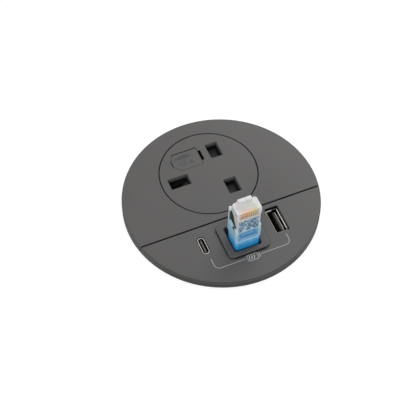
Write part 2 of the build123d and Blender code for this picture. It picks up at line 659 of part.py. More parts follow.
# Data plug body: clear moulding, hollow for the cable, slotted at the nose, with a latch recess
PLUG_MID = (PLUG_FRONT + PLUG_BACK) / 2
with BuildPart() as plug_body:
    with BuildSketch(Plane.YZ.offset(-PLUG_W / 2)) as plug_side:
        Polygon(
            (PLUG_FRONT, PLUG_BOTTOM),
            (PLUG_BACK, PLUG_BOTTOM),
            (PLUG_BACK, TOP + 12.6),
            (-25.6, TOP + 13.6),
            (-25.6, TOP + 20.6),
            (PLUG_BACK, TOP + 22.8),
            (PLUG_BACK, PLUG_TOP),
            (PLUG_FRONT, PLUG_TOP),
            align=None,
        )
    extrude(amount=PLUG_W)
    with BuildSketch(Plane.XY.offset(PLUG_BOTTOM)) as lower_flanks:
        with Locations((0, PLUG_MID)):
            Rectangle(2 * PLUG_W, 8)
            Rectangle(9.8, 8, mode=Mode.SUBTRACT)
    extrude(amount=TOP + 15.4 - PLUG_BOTTOM, mode=Mode.SUBTRACT)
    with BuildSketch(Plane.XY.offset(TOP + 15.4)) as upper_flanks:
        with Locations((0, PLUG_MID)):
            Rectangle(2 * PLUG_W, 8)
            Rectangle(10.9, 8, mode=Mode.SUBTRACT)
    extrude(amount=8.2, mode=Mode.SUBTRACT)
    chamfer(
        plug_body.edges().filter_by(Axis.Z).filter_by(lambda e: abs(e.center().X) > 5.5 and e.center().Y > -24), 0.8
    )
    with BuildSketch(Plane.XY.offset(PLUG_TOP)) as nose_block:
        with Locations((0, PLUG_BACK)):
            Rectangle(6.5, 1.8, align=(Align.CENTER, Align.MAX))
    extrude(amount=PLUG_NOSE - PLUG_TOP)
    fillet(plug_body.edges().group_by(Axis.Z)[-1], 0.35)
    with BuildSketch(Plane.XY.offset(PLUG_BOTTOM)) as cable_hollow:
        with Locations((0, -27.4)):
            Rectangle(8.4, 1.2)
    extrude(amount=17.5, mode=Mode.SUBTRACT)
    with BuildSketch(Plane.XY.offset(PLUG_BOTTOM)) as jacket_hollow:
        with Locations((0, -26.3)):
            Rectangle(8.6, 4.4)
    extrude(amount=5.8, mode=Mode.SUBTRACT)
    with BuildSketch(Plane.XY.offset(TOP + 24.0)) as contact_slots:
        with Locations((0, PLUG_FRONT)):
            with GridLocations(CONTACT_PITCH, 1, 8, 1):
                Rectangle(0.5, 6.6)
    extrude(amount=6, mode=Mode.SUBTRACT)
    with BuildSketch(Plane.XZ.offset(-PLUG_FRONT)) as crimp_window:
        with Locations((0, TOP + 18.6)):
            RectangleRounded(8.2, 5.6, 0.5)
    extrude(amount=-0.7, mode=Mode.SUBTRACT)
    with BuildSketch(Plane.XZ.offset(-PLUG_FRONT)) as relief_panel:
        with Locations((0, TOP + 9.8)):
            RectangleRounded(8.0, 5.2, 0.5)
    extrude(amount=-0.45, mode=Mode.SUBTRACT)
    with BuildSketch(Plane.YZ.offset(-4)) as latch_groove:
        with Locations((-22.72, TOP + 27.1)):
            Circle(0.58)
    extrude(amount=8, mode=Mode.SUBTRACT)

# Eight gold contacts in the slots of the nose
with BuildPart() as plug_contacts:
    for slot in range(8):
        with BuildSketch(Plane.YZ.offset((slot - 3.5) * CONTACT_PITCH - 0.2)) as blade:
            Polygon(
                (PLUG_FRONT + 0.2, TOP + 24.9),
                (PLUG_FRONT + 0.8, TOP + 24.02),
                (-27.4, TOP + 24.02),
                (-27.4, PLUG_TOP - 0.6),
                (PLUG_FRONT + 1.2, PLUG_TOP - 0.2),
                (PLUG_FRONT + 0.2, PLUG_TOP - 0.9),
                align=None,
            )
        extrude(amount=0.4)

# Eight conductors fanned flat between the cable and the contacts
with BuildPart() as plug_conductors:
    with BuildSketch(Plane.XY.offset(TOP + 12.6)) as conductor_sections:
        with Locations((0, -27.4)):
            with GridLocations(CONTACT_PITCH, 1, 8, 1):
                RegularPolygon(0.48, 8)
    extrude(amount=11.37)

# Stub of the round data cable, inside the boot and the plug
with BuildPart() as cable_stub:
    with BuildSketch(Plane.XY.offset(BOOT_BOTTOM)) as cable_section:
        with Locations((0, -26.2)):
            Circle(2.1)
    extrude(amount=TOP + 12.2 - BOOT_BOTTOM)

# Boot: block round the rear of the plug, a tapered tail and two guards beside the latch
BOOT_MID = (BOOT_FRONT + BOOT_BACK) / 2
GUARD_X = 4.95
GUARD = [
    (BOOT_FRONT + 0.5, BOOT_TOP - 0.5),
    (BOOT_FRONT + 0.5, TOP + 14.8),
    (-28.2, TOP + 15.3),
    (-26.2, TOP + 13.4),
    (-22.3, TOP + 14.0),
    (-22.1, TOP + 22.4),
    (-20.9, TOP + 23.6),
    (BOOT_BACK, TOP + 12.0),
    (BOOT_BACK, BOOT_TOP - 0.5),
]
BOOT_BLOCK = TOP - 6.0
with BuildPart() as plug_boot:
    with BuildSketch(Plane.XY.offset(BOOT_BLOCK)) as boot_section:
        with Locations((0, BOOT_MID)):
            RectangleRounded(2 * BOOT_HALF, BOOT_BACK - BOOT_FRONT, 1.4)
    extrude(amount=BOOT_TOP - BOOT_BLOCK)
    chamfer(plug_boot.edges().group_by(Axis.Z)[-1], 0.3)
    with BuildSketch(Plane.XY.offset(BOOT_BLOCK)) as tail_top:
        with Locations((0, -25.6)):
            RectangleRounded(2 * BOOT_HALF - 1.6, 7.6, 1.4)
    with BuildSketch(Plane.XY.offset(BOOT_BOTTOM)) as tail_end:
        with Locations((0, -26.2)):
            RectangleRounded(6.6, 6.4, 3.0)
    loft()
    for inner_face in (-BOOT_HALF, GUARD_X):
        with BuildSketch(Plane.YZ.offset(inner_face)) as guard_side:
            Polygon(*GUARD, align=None)
        extrude(amount=BOOT_HALF - GUARD_X)
    with BuildSketch(Plane.XY.offset(BOOT_BOTTOM)) as cable_bore:
        with Locations((0, -26.2)):
            Circle(2.15)
    extrude(amount=PLUG_BOTTOM - BOOT_BOTTOM, mode=Mode.SUBTRACT)

# Latch: sprung tongue on a bead at the nose
LATCH_PIVOT = (-22.72, TOP + 27.1)
with BuildPart() as plug_latch:
    with BuildSketch(Plane.YZ.offset(-3.1)) as latch_side:
        with Locations(LATCH_PIVOT):
            Circle(0.54)
        Polygon(
            (-22.72, TOP + 27.64),
            (-22.2, TOP + 27.4),
            (-18.9, TOP + 14.2),
            (-18.6, TOP + 11.6),
            (-19.5, TOP + 11.6),
            (-19.9, TOP + 14.0),
            (-22.65, TOP + 26.65),
            align=None,
        )
    extrude(amount=6.2)
    with BuildSketch(Plane.XY.offset(TOP + 11)) as latch_waist:
        with Locations((-3.1, -20), (3.1, -20)):
            Rectangle(2.6, 8)
    extrude(amount=7.5, mode=Mode.SUBTRACT)

# Clamp: keyed washer and round nut on the barrel
WASHER_TOP = -DESK_T
NUT_TOP = WASHER_TOP - WASHER_T - CLAMP_GAP
RUN_R = BARREL_R + THREAD_H + 0.1
with BuildPart() as clamp_washer:
    with BuildSketch(Plane.XY.offset(WASHER_TOP)) as washer_ring:
        Circle(CLAMP_R)
        Circle(RUN_R, mode=Mode.SUBTRACT)
        with PolarLocations(RUN_R + 0.5, 2):
            Rectangle(2 * (RUN_R + 0.5 - BARREL_R + KEY_DEPTH - 0.1), KEY_WIDTH - 0.4)
    extrude(amount=-WASHER_T)
    chamfer(clamp_washer.edges().filter_by(GeomType.CIRCLE).sort_by(SortBy.RADIUS)[-2:], 0.5)
with BuildPart() as clamp_nut:
    with BuildSketch(Plane.XY.offset(NUT_TOP)) as nut_flange:
        Circle(CLAMP_R - 0.4)
        Circle(RUN_R, mode=Mode.SUBTRACT)
    extrude(amount=-2.6)
    with BuildSketch(Plane.XY.offset(NUT_TOP)) as nut_hub:
        Circle(NUT_HUB_R)
        with PolarLocations(NUT_HUB_R, NUT_LUGS):
            Rectangle(3.6, 3.4)
        Circle(RUN_R, mode=Mode.SUBTRACT)
    extrude(amount=-NUT_H)
    chamfer(clamp_nut.edges().filter_by(GeomType.CIRCLE).sort_by(SortBy.RADIUS)[:2], 0.4)

# Power inlet with three pins, set into the base
with BuildPart() as power_inlet:
    with BuildSketch(Plane.XY.offset(BASE_BOTTOM_FACE)) as inlet_outline:
        with Locations((0, INLET_Y)):
            RectangleRounded(*INLET, 1.0)
    extrude(amount=INLET_DEPTH)
    with BuildSketch(Plane.XY.offset(-BARREL_DEPTH)) as inlet_shoulder:
        with Locations((0, INLET_Y)):
            Rectangle(INLET[0] + 3.0, INLET[1] + 3.0)
    extrude(amount=1.6)
    with BuildSketch(Plane.XY.offset(BASE_BOTTOM_FACE)) as inlet_mouth:
        with Locations((0, INLET_Y)):
            Rectangle(*INLET_CAVITY)
        chamfer(inlet_mouth.vertices().group_by(Axis.Y)[-1], 2.2)
    extrude(amount=INLET_DEPTH - 3, mode=Mode.SUBTRACT)
    with BuildSketch(Plane.XY.offset(BASE_BOTTOM_FACE)) as inlet_pin_holes:
        with Locations(*[(x, INLET_Y) for x in INLET_PINS.values()]):
            Circle(INLET_PIN_R + 0.03)
    extrude(amount=INLET_DEPTH, mode=Mode.SUBTRACT)
INLET_TOP = BASE_BOTTOM_FACE + INLET_DEPTH
with BuildPart() as inlet_pins:
    with BuildSketch(Plane.XY.offset(BASE_BOTTOM_FACE + 4.6)) as inlet_pin_sections:
        with Locations(*[(x, INLET_Y) for x in INLET_PINS.values()]):
            Circle(INLET_PIN_R)
    extrude(amount=INLET_DEPTH - 4.6 + 2.0)


def inner_lead(pin_x, tail):
    """An insulated lead from an inlet pin up to the tail of a contact, in two quarter bends."""
    start = Vector(pin_x, INLET_Y, INLET_TOP + 2.05)
    end = Vector(tail[0], tail[1], TAIL_END - 0.05)
    rise = Vector(0, 0, (end.Z - start.Z) / 2)
    with BuildPart() as lead:
        with BuildLine() as route:
            FilletPolyline(start, start + rise, end - rise, end, radius=rise.Z - 0.15)
        with BuildSketch(route.line ^ 0):
            RegularPolygon(1.35, 6)
        sweep()
    return lead


lead_earth = inner_lead(INLET_PINS["earth"], EARTH)
lead_live = inner_lead(INLET_PINS["live"], (FUSE[0], 22.55))
lead_neutral = inner_lead(INLET_PINS["neutral"], (NEUTRAL[0], NEUTRAL[1] + 1.4))

# Two thinner leads that feed the charger board from the tails of the live and neutral contacts
CHARGER_LEAD_Y = -12.9
CHARGER_LEAD_Z = TAIL_END - 3.2
SIDE_X = LINE_X + 4.2
NEUTRAL_ROUTE = [
    (LINE_X, NEUTRAL[1] - 2.0, TAIL_END - 0.05),
    (LINE_X, NEUTRAL[1] - 2.0, CHARGER_LEAD_Z),
    (LINE_X, CHARGER_LEAD_Y, CHARGER_LEAD_Z),
    (LINE_X, CHARGER_LEAD_Y, BOARD_BOTTOM - 0.05),
]
LIVE_ROUTE = [
    (LINE_X, LIVE[1], TAIL_END - 0.05),
    (LINE_X, LIVE[1], CHARGER_LEAD_Z),
    (SIDE_X, LIVE[1] - 10.0, CHARGER_LEAD_Z),
    (SIDE_X, CHARGER_LEAD_Y, CHARGER_LEAD_Z),
    (SIDE_X, CHARGER_LEAD_Y, BOARD_BOTTOM - 0.05),
]
with BuildPart() as charger_leads:
    for stops, radii in ((NEUTRAL_ROUTE, [3.0, 6.0]), (LIVE_ROUTE, [3.0, 12.0, 6.0])):
        with BuildLine() as charger_route:
            FilletPolyline(*stops, radius=radii)
        with BuildSketch(charger_route.line ^ 0):
            RegularPolygon(0.85, 6)
        sweep()


def screws(places, head_z, tip_z):
    """Hexagon-head screws that point up, as one group."""
    with BuildPart() as group:
        with BuildSketch(Plane.XY.offset(head_z)):
            with Locations(*places):
                RegularPolygon(SCREW_R, 8)
        extrude(amount=tip_z - head_z)
        with BuildSketch(Plane.XY.offset(head_z - HEAD_H)):
            with Locations(*places):
                RegularPolygon(HEAD_R, 6)
        extrude(amount=HEAD_H)
    return group


cover_screws = screws(COVER_SCREWS, -LUG_H, FLANGE_T + 1.6)
socket_screws = screws(SOCKET_SCREWS, BASE_BOTTOM, FLANGE_T + 1.2)
board_screws = screws(BOARD_SCREWS, BOARD_BOTTOM, BOARD_TOP + 6.0)
base_screws = screws(BASE_SCREWS, BASE_BOTTOM_FACE + HEAD_H + 0.2, -BARREL_DEPTH + 8.0)

pieces = {
    "housing": housing,
    "base_cover": base_cover,
    "power_cover": power_cover,
    "data_cover": data_cover,
    "socket_face": socket_face,
    "socket_base": socket_base,
    "shutter": shutter,
    "shutter_spring": shutter_spring,
    "live_contact": live_contact,
    "neutral_contact": neutral_contact,
    "earth_contact": earth_contact,
    "line_clip": line_clip,
    "fuse_carrier": fuse_carrier,
    "fuse_tube": fuse_tube,
    "fuse_caps": fuse_caps,
    "usb_a_shell": usb_a_shell,
    "usb_a_tongue": usb_a_tongue,
    "usb_c_shell": usb_c_shell,
    "usb_c_tongue": usb_c_tongue,
    "charger_board": charger_board,
    "transformer_core": transformer_core,
    "transformer_coil": transformer_coil,
    "capacitors": capacitors,
    "cable_insert": cable_insert,
    "cable_duct": cable_duct,
    "plug_body": plug_body,
    "plug_contacts": plug_contacts,
    "plug_conductors": plug_conductors,
    "cable_stub": cable_stub,
    "plug_boot": plug_boot,
    "plug_latch": plug_latch,
    "clamp_washer": clamp_washer,
    "clamp_nut": clamp_nut,
    "power_inlet": power_inlet,
    "inlet_pins": inlet_pins,
    "lead_earth": lead_earth,
    "lead_live": lead_live,
    "lead_neutral": lead_neutral,
    "charger_leads": charger_leads,
    "cover_screws": cover_screws,
    "socket_screws": socket_screws,
    "board_screws": board_screws,
    "base_screws": base_screws,
}
for name, piece in pieces.items():
    piece.part.label = name
    export_step(piece.part, f"parts/{name}.step")
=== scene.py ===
# %% [markdown]
# # A flush desk socket, from its imported frame to a finished picture
# The real object is a round module that sits in an 80 mm hole of a desk. Its shape comes from the packed
# model, which this lesson loads as a fixed frame. What is left for Blender are the finishes, the printed
# and raised signs, the crests of the thread, small metal strips, screw heads, a coil, and the light.
# Everything is in metres, in the frame of the imported model, and the helpers take millimetres.

import json
import math

import bmesh
import bpy
from mathutils import Matrix, Vector


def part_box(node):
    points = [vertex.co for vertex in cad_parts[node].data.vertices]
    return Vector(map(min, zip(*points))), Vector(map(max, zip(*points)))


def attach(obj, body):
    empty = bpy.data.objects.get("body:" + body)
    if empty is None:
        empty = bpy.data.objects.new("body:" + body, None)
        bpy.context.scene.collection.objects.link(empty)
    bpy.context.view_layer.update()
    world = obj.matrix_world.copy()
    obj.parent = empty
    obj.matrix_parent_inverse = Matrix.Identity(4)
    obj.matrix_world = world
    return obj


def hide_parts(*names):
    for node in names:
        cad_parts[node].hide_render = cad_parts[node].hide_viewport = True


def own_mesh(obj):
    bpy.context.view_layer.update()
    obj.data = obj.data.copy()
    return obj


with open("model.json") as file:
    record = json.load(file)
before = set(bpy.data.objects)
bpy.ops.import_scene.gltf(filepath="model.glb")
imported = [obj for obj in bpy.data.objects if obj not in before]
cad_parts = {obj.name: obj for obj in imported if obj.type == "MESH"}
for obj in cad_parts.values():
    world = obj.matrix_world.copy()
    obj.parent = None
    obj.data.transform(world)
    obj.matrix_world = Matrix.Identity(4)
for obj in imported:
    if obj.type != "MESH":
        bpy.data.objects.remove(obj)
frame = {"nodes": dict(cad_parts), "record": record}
nodes = frame["nodes"]
scene = bpy.context.scene
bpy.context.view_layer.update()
MM = 0.001
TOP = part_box("power_cover")[1].z
print("cover face at", round(TOP / MM, 3), "mm")

# %% [markdown]
# ## Where the patterns come from
# A finish is a few shader nodes: a noise that reads Object coordinates, so that it stays on the piece
# when a joint moves it, then a ramp for the colour and a bump for the grain. Most of a noise lies between
# 0.3 and 0.7, so the ramps are stretched over that range. A number that is the same all over is set on
# the shader itself.

# %% Helpers for the shader nodes
NOISE_RANGE = (0.3, 0.7)


def new_finish(name):
    """A material with its node tree and its main shader."""
    material = bpy.data.materials.new(name)
    material.use_nodes = True
    tree = material.node_tree
    return material, tree, tree.nodes["Principled BSDF"]


def set_values(node, values):
    """Sets inputs of a node by their names."""
    for name, value in values.items():
        node.inputs[name].default_value = value


def map_value(tree, value, start, stop, low=0.0, high=1.0):
    """Makes a value that runs from start to stop run from low to high."""
    spread = tree.nodes.new("ShaderNodeMapRange")
    set_values(spread, {"From Min": start, "From Max": stop, "To Min": low, "To Max": high})
    tree.links.new(value, spread.inputs["Value"])
    return spread.outputs["Result"]


def object_noise(tree, scale, detail=2.0, stretch=(1, 1, 1)):
    """A noise in Object coordinates. Its scale is in waves per metre."""
    place = tree.nodes.new("ShaderNodeTexCoord")
    mapping = tree.nodes.new("ShaderNodeMapping")
    noise = tree.nodes.new("ShaderNodeTexNoise")
    set_values(mapping, {"Scale": stretch})
    set_values(noise, {"Scale": scale, "Detail": detail})
    tree.links.new(place.outputs["Object"], mapping.inputs["Vector"])
    tree.links.new(mapping.outputs["Vector"], noise.inputs["Vector"])
    return noise


def tint(tree, shader, noise, dark, light):
    """Colours the shader between two close tones."""
    ramp = tree.nodes.new("ShaderNodeValToRGB")
    for end, position, tone in zip(ramp.color_ramp.elements, NOISE_RANGE, (dark, light)):
        end.position = position
        end.color = (*tone, 1)
    tree.links.new(noise.outputs["Fac"], ramp.inputs["Fac"])
    tree.links.new(ramp.outputs["Color"], shader.inputs["Base Color"])


def around(tone, spread):
    """A darker and a lighter tone, on both sides of one."""
    return [[min(1, c * (1 + way * spread)) for c in tone] for way in (-1, 1)]


def gloss_between(tree, shader, noise, low, high):
    """Lets the roughness drift between two values."""
    drift = map_value(tree, noise.outputs["Fac"], *NOISE_RANGE, low, high)
    tree.links.new(drift, shader.inputs["Roughness"])


def grain(tree, shader, noise, depth, edge=0.0):
    """Bumps the surface by a noise. With an edge radius, sharp edges catch the light as real ones do."""
    bump = tree.nodes.new("ShaderNodeBump")
    set_values(bump, {"Distance": depth})
    tree.links.new(noise.outputs["Fac"], bump.inputs["Height"])
    if edge:
        softened = tree.nodes.new("ShaderNodeBevel")
        softened.samples = 4
        set_values(softened, {"Radius": edge})
        tree.links.new(softened.outputs["Normal"], bump.inputs["Normal"])
    tree.links.new(bump.outputs["Normal"], shader.inputs["Normal"])


# %% [markdown]
# ## Masks by place
# Some finishes change with the place on the piece: a clear wall shows blue where a blue sleeve lies
# behind it, and the walls of a narrow gap get painted shade, darker than the face. Each such zone is a mask,
# made from the Object coordinates of the point: it is one between two values and nought outside them.
# Masks are multiplied where all have to hold.

# %% Helpers for masks
def object_axes(tree):
    """The three Object coordinates of the point that is shaded."""
    place = tree.nodes.new("ShaderNodeTexCoord")
    parts = tree.nodes.new("ShaderNodeSeparateXYZ")
    tree.links.new(place.outputs["Object"], parts.inputs["Vector"])
    return parts.outputs["X"], parts.outputs["Y"], parts.outputs["Z"]


def calculate(tree, operation, *values):
    """One step of arithmetic with masks, other values of the point, or plain numbers."""
    step = tree.nodes.new("ShaderNodeMath")
    step.operation = operation
    for socket, value in zip(step.inputs, values):
        if isinstance(value, float):
            socket.default_value = value
        else:
            tree.links.new(value, socket)
    return step.outputs[0]


def both(tree, first, second):
    """A mask that is one where the first and the second are."""
    return calculate(tree, "MULTIPLY", first, second)


def either(tree, first, second):
    """A mask that is one where the first or the second is."""
    return calculate(tree, "MAXIMUM", first, second)


def all_but(tree, mask):
    """The opposite of a mask."""
    return calculate(tree, "SUBTRACT", 1.0, mask)


def span(tree, value, low, high, soft, strength=1.0):
    """A mask between two values, all in millimetres, with ends that are soft."""
    rise = map_value(tree, value, (low - soft) * MM, (low + soft) * MM, 0.0, strength)
    fall = map_value(tree, value, (high - soft) * MM, (high + soft) * MM, 1.0, 0.0)
    return both(tree, rise, fall)


def zone(tree, *limits):
    """A mask that is one where every span holds. A limit lists what span takes after the tree."""
    mask = span(tree, *limits[0])
    for limit in limits[1:]:
        mask = both(tree, mask, span(tree, *limit))
    return mask


def lay_over(tree, mask, colour):
    """Lays a colour, or the colour of a socket, over the base colour where the mask is one."""
    base = tree.nodes["Principled BSDF"].inputs["Base Color"]
    coat = tree.nodes.new("ShaderNodeMix")
    coat.data_type = "RGBA"
    tree.links.new(mask, coat.inputs[0])
    tree.links.new(base.links[0].from_socket, coat.inputs[6])
    if isinstance(colour, tuple):
        coat.inputs[7].default_value = (*colour, 1)
    else:
        tree.links.new(colour, coat.inputs[7])
    tree.links.new(coat.outputs[2], base)


# %% [markdown]
# ## Moulded plastic
# The covers are spark-eroded plastic: a dark warm grey with a fine satin grain. One flat tone would look
# painted, so tone and gloss drift a little under the grain. The same recipe with other tones makes the
# black mouldings underneath and the insulation of the leads.

# %% Plastic finishes
def moulded(name, tone, spread, rough, grain_size=0.00018, depth=0.000006, edge=0.0, specular=0.5):
    """Plastic of one tone with a drift of tone and gloss, and an eroded grain."""
    material, tree, shader = new_finish(name)
    drift = object_noise(tree, 60, 3)
    tint(tree, shader, drift, *around(tone, spread))
    gloss_between(tree, shader, drift, *rough)
    set_values(shader, {"Specular IOR Level": specular})
    grain(tree, shader, object_noise(tree, 1 / grain_size, 1), depth, edge)
    return material


COVER_TONE = (0.0985, 0.0952, 0.0935)
INSERT_TONE = (0.084, 0.082, 0.081)
SMOOTH = 0.000002
finishes = {
    "cover_grey": moulded("satin_grey_plastic", COVER_TONE, 0.03, (0.46, 0.54), edge=0.00012, specular=0.4),
    "insert_grey": moulded("dark_satin_plastic", INSERT_TONE, 0.03, (0.36, 0.44), edge=0.0002, specular=0.4),
    "base_black": moulded("black_plastic", (0.028, 0.028, 0.03), 0.1, (0.4, 0.5), edge=0.0002),
    "socket_moulding": moulded("dark_inner_plastic", (0.015, 0.0145, 0.014), 0.1, (0.5, 0.6)),
    "tongue_grey": moulded("grey_port_plastic", (0.022, 0.018, 0.014), 0.05, (0.4, 0.5), depth=SMOOTH),
    "tongue_black": moulded("black_port_plastic", (0.015, 0.015, 0.016), 0.05, (0.35, 0.45), depth=SMOOTH),
    "coil_tape": moulded("yellow_winding_tape", (0.75, 0.52, 0.05), 0.08, (0.25, 0.35), depth=SMOOTH),
    "core_ferrite": moulded("sintered_ferrite", (0.035, 0.035, 0.04), 0.15, (0.55, 0.7), 0.0003),
    "cable_blue": moulded("blue_cable_jacket", (0.02, 0.16, 0.42), 0.05, (0.35, 0.45)),
    "lead_live_brown": moulded("brown_insulation", (0.17, 0.06, 0.025), 0.05, (0.3, 0.4), depth=SMOOTH),
    "lead_neutral_blue": moulded("blue_insulation", (0.02, 0.12, 0.5), 0.05, (0.3, 0.4), depth=SMOOTH),
    "capacitor_sleeve": moulded("shrunk_sleeve", (0.02, 0.035, 0.1), 0.1, (0.2, 0.3), depth=SMOOTH),
}
print("plastic finishes:", len(finishes))

# %% [markdown]
# ## Dark gaps and edges
# The gaps between the covers, the insert and the fuse tab are about half a millimetre wide, and the light
# that gets into them is soon lost. The pin holes have a lead-in that stays light, and their walls fall to
# near black below it. The lamps alone leave both too pale, so masks paint shade on them, and on the side of
# the disc too. A few edges get a thin strip of painted shade on the face along them, as if they lay beside a
# wider gap. Each strip is worked out from the box of the piece that it follows.

# %% Gaps, rim and shaded edges
TOP_MM = TOP / MM
FAR = 99.0
PIN_HOLES = (((4.0, 11.5), (-1.0, 31.5)), ((-20.5, -9.0), (12.0, 19.0)))
GAP_SHADE = (0.008, 0.008, 0.008)
EDGE_SHADE = (0.012, 0.012, 0.012)
RIM_SHADE = (0.0235, 0.0225, 0.0215)
RIM_INSIDE, RIM_OUTSIDE = 45.3, 46.1


def box_mm(node):
    """Both corners of a node's box, in millimetres."""
    return tuple(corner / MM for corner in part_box(node))


collar_low, collar_high = box_mm("cable_insert")
port_low, port_high = box_mm("usb_a_shell")
tab_low, tab_high = box_mm("fuse_carrier")
SHADED_EDGES = {
    "tab back": ((tab_low.x + 1.6, tab_high.x), (tab_high.y - 0.2, tab_high.y + 0.35)),
    "tab left": ((tab_low.x - 0.45, tab_low.x + 0.05), (tab_low.y + 3.0, tab_high.y - 3.2)),
    "port right": ((port_high.x + 0.2, port_high.x + 0.7), (port_low.y - 0.35, port_high.y + 0.45)),
    "port back": ((port_low.x + 0.05, port_high.x + 0.45), (port_high.y + 0.45, port_high.y + 0.65)),
    "collar front": ((collar_low.x + 2.5, collar_high.x - 2.5), (collar_low.y - 0.55, collar_low.y)),
    "collar left": ((collar_low.x - 0.3, collar_low.x), (collar_low.y + 2.5, collar_high.y - 2.5)),
}


def distance_from_axis(tree, x, y):
    """How far the point lies from the axis of the module."""
    squares = [calculate(tree, "MULTIPLY", value, value) for value in (x, y)]
    return calculate(tree, "SQRT", calculate(tree, "ADD", *squares))


def paint_gap_shade(tree):
    """Paints shade on the walls of the gaps and of the pin holes, on the side of the disc, and along the
    shaded edges.
    """
    x, y, z = object_axes(tree)
    # Painted shade on the walls of the gaps, and on the walls of the pin holes below their lead-ins.
    holes = [zone(tree, (x, *across, 0.1), (y, *along, 0.1)) for across, along in PIN_HOLES]
    beside_holes = all_but(tree, either(tree, *holes))
    shallow = both(tree, span(tree, z, 0.05, TOP_MM - 0.35, 0.1), beside_holes)
    deep = span(tree, z, 0.05, TOP_MM - 1.5, 0.5)
    reach = distance_from_axis(tree, x, y)
    inside = span(tree, reach, -1.0, RIM_INSIDE, 0.1)
    lay_over(tree, both(tree, either(tree, shallow, deep), inside), GAP_SHADE)
    # Painted shade on the side of the disc.
    rim = zone(tree, (reach, RIM_OUTSIDE, FAR, 0.12), (z, 0.05, TOP_MM - 0.2, 0.1))
    lay_over(tree, rim, RIM_SHADE)
    # Painted shade in a thin strip along each of the shaded edges.
    for across, along in SHADED_EDGES.values():
        strip = zone(tree, (x, *across, 0.08), (y, *along, 0.08), (z, TOP_MM - 0.2, TOP_MM + 0.05, 0.05))
        lay_over(tree, strip, EDGE_SHADE)


paint_gap_shade(finishes["cover_grey"].node_tree)
print("shaded edges:", ", ".join(SHADED_EDGES))

# %% [markdown]
# ## Port tongues, collar and ramp
# The ends of the two port tongues get a painted highlight, a pale tone. The sides of the raised collar lie
# in its own shadow, which is painted on as a dark tone. Under the earth hole, the shutter's ramp catches the
# light from above, so it gets a painted highlight, lighter than the walls round it.

# %% Tongue ends, sides of the collar and the ramp
def paint_tongue_highlight(tree, high, tone, left=-FAR, right=FAR):
    """Lays a painted highlight, a pale tone, on the last tenth of a millimetre of a tongue, between two
    values across it.
    """
    x, _, z = object_axes(tree)
    end = zone(tree, (z, high - 0.12, high + 1, 0.02), (x, left, right, 0.05))
    lay_over(tree, end, tone)


def darken_collar(tree):
    """Lays painted shade, a dark tone, on the outer sides of the collar, but not on the walls of its
    opening.
    """
    x, y, z = object_axes(tree)
    opening = zone(tree, (x, -8.0, 8.0, 0.1), (y, -32.0, -16.0, 0.1))
    sides = span(tree, z, TOP_MM - 0.5, collar_high.z - 0.35, 0.08)
    sides = both(tree, sides, all_but(tree, opening))
    lay_over(tree, sides, (0.014, 0.014, 0.013))


def lighten_ramp(tree):
    """Lays a painted highlight, a lighter tone, on what lies under the earth hole."""
    x, y, z = object_axes(tree)
    ramp = zone(tree, (x, -20.5, -9.0, 0.1), (y, 11.0, 20.0, 0.1), (z, TOP_MM - 12.0, TOP_MM, 0.1))
    lay_over(tree, ramp, (0.075, 0.072, 0.068))


a_tongue_top = box_mm("usb_a_tongue")[1].z
c_tongue_top = box_mm("usb_c_tongue")[1].z
paint_tongue_highlight(finishes["tongue_grey"].node_tree, a_tongue_top, (0.6, 0.57, 0.53), 19.8, 20.05)
paint_tongue_highlight(finishes["tongue_black"].node_tree, c_tongue_top, (0.1, 0.092, 0.085))
darken_collar(finishes["insert_grey"].node_tree)
lighten_ramp(finishes["socket_moulding"].node_tree)
print("tongues end at", round(a_tongue_top, 2), "and", round(c_tongue_top, 2), "mm")

# %% [markdown]
# ## Metal
# Brass strip, nickel-plated shells and zinc-plated screws differ in colour and in how far the brushed
# streaks stretch. An even noise would look like cast metal, and one that is squeezed along one direction
# gives rolling marks. The sheet of the port shells is dull in the depth of the mouth. Its cut edges and the
# rim of the oval port get a painted highlight, laid lighter and less like a mirror, and a strip of painted
# shade lies along the back of the wide port.

# %% Metal finishes
def metal(name, tone, rough, stretch=(1, 1, 8), spread=0.08):
    """Rolled or plated metal with faint streaks."""
    material, tree, shader = new_finish(name)
    set_values(shader, {"Metallic": 1.0})
    streaks = object_noise(tree, 500, 3, stretch)
    tint(tree, shader, streaks, *around(tone, spread))
    gloss_between(tree, shader, streaks, *rough)
    grain(tree, shader, streaks, SMOOTH)
    return material


def port_shell():
    """Nickel plate, dull inside a port, with painted highlights on its edges and painted shade behind the
    wide port.
    """
    material = metal("nickel_shell", (0.24, 0.22, 0.19), (0.22, 0.32))
    tree = material.node_tree
    x, y, z = object_axes(tree)
    beside, right = port_low.x - 0.25, port_high.x + 2.65
    # Painted highlight on a long and a short cut edge of the wide port, lighter and less like a mirror.
    long_edge = zone(
        tree, (x, port_high.x - 0.75, right, 0.05), (y, port_low.y + 1.05, port_high.y - 0.85, 0.5),
        (z, port_high.z - 0.5, FAR, 0.1),
    )
    short_edge = zone(
        tree, (x, beside, port_low.x + 3.05, 0.3), (y, port_high.y - 0.75, port_high.y - 0.12, 0.02),
        (z, port_high.z - 1.0, FAR, 0.2),
    )
    painted_highlight = either(tree, long_edge, short_edge)
    lay_over(tree, painted_highlight, (0.97, 0.96, 0.94))
    less_mirror = map_value(tree, painted_highlight, 0.0, 1.0, 1.0, 0.2)
    tree.links.new(less_mirror, tree.nodes["Principled BSDF"].inputs["Metallic"])
    # Painted shade along the back of the wide port.
    behind = zone(tree, (x, beside, right, 0.1), (y, port_high.y - 0.11, port_high.y + 0.75, 0.02))
    lay_over(tree, behind, (0.02, 0.019, 0.018))
    # Painted highlight on the rim of the oval port.
    oval_edge = zone(tree, (x, -40.0, -10.0, 0.1), (z, box_mm("usb_c_shell")[1].z - 0.15, FAR, 0.05))
    lay_over(tree, oval_edge, (0.6, 0.58, 0.54))
    return material


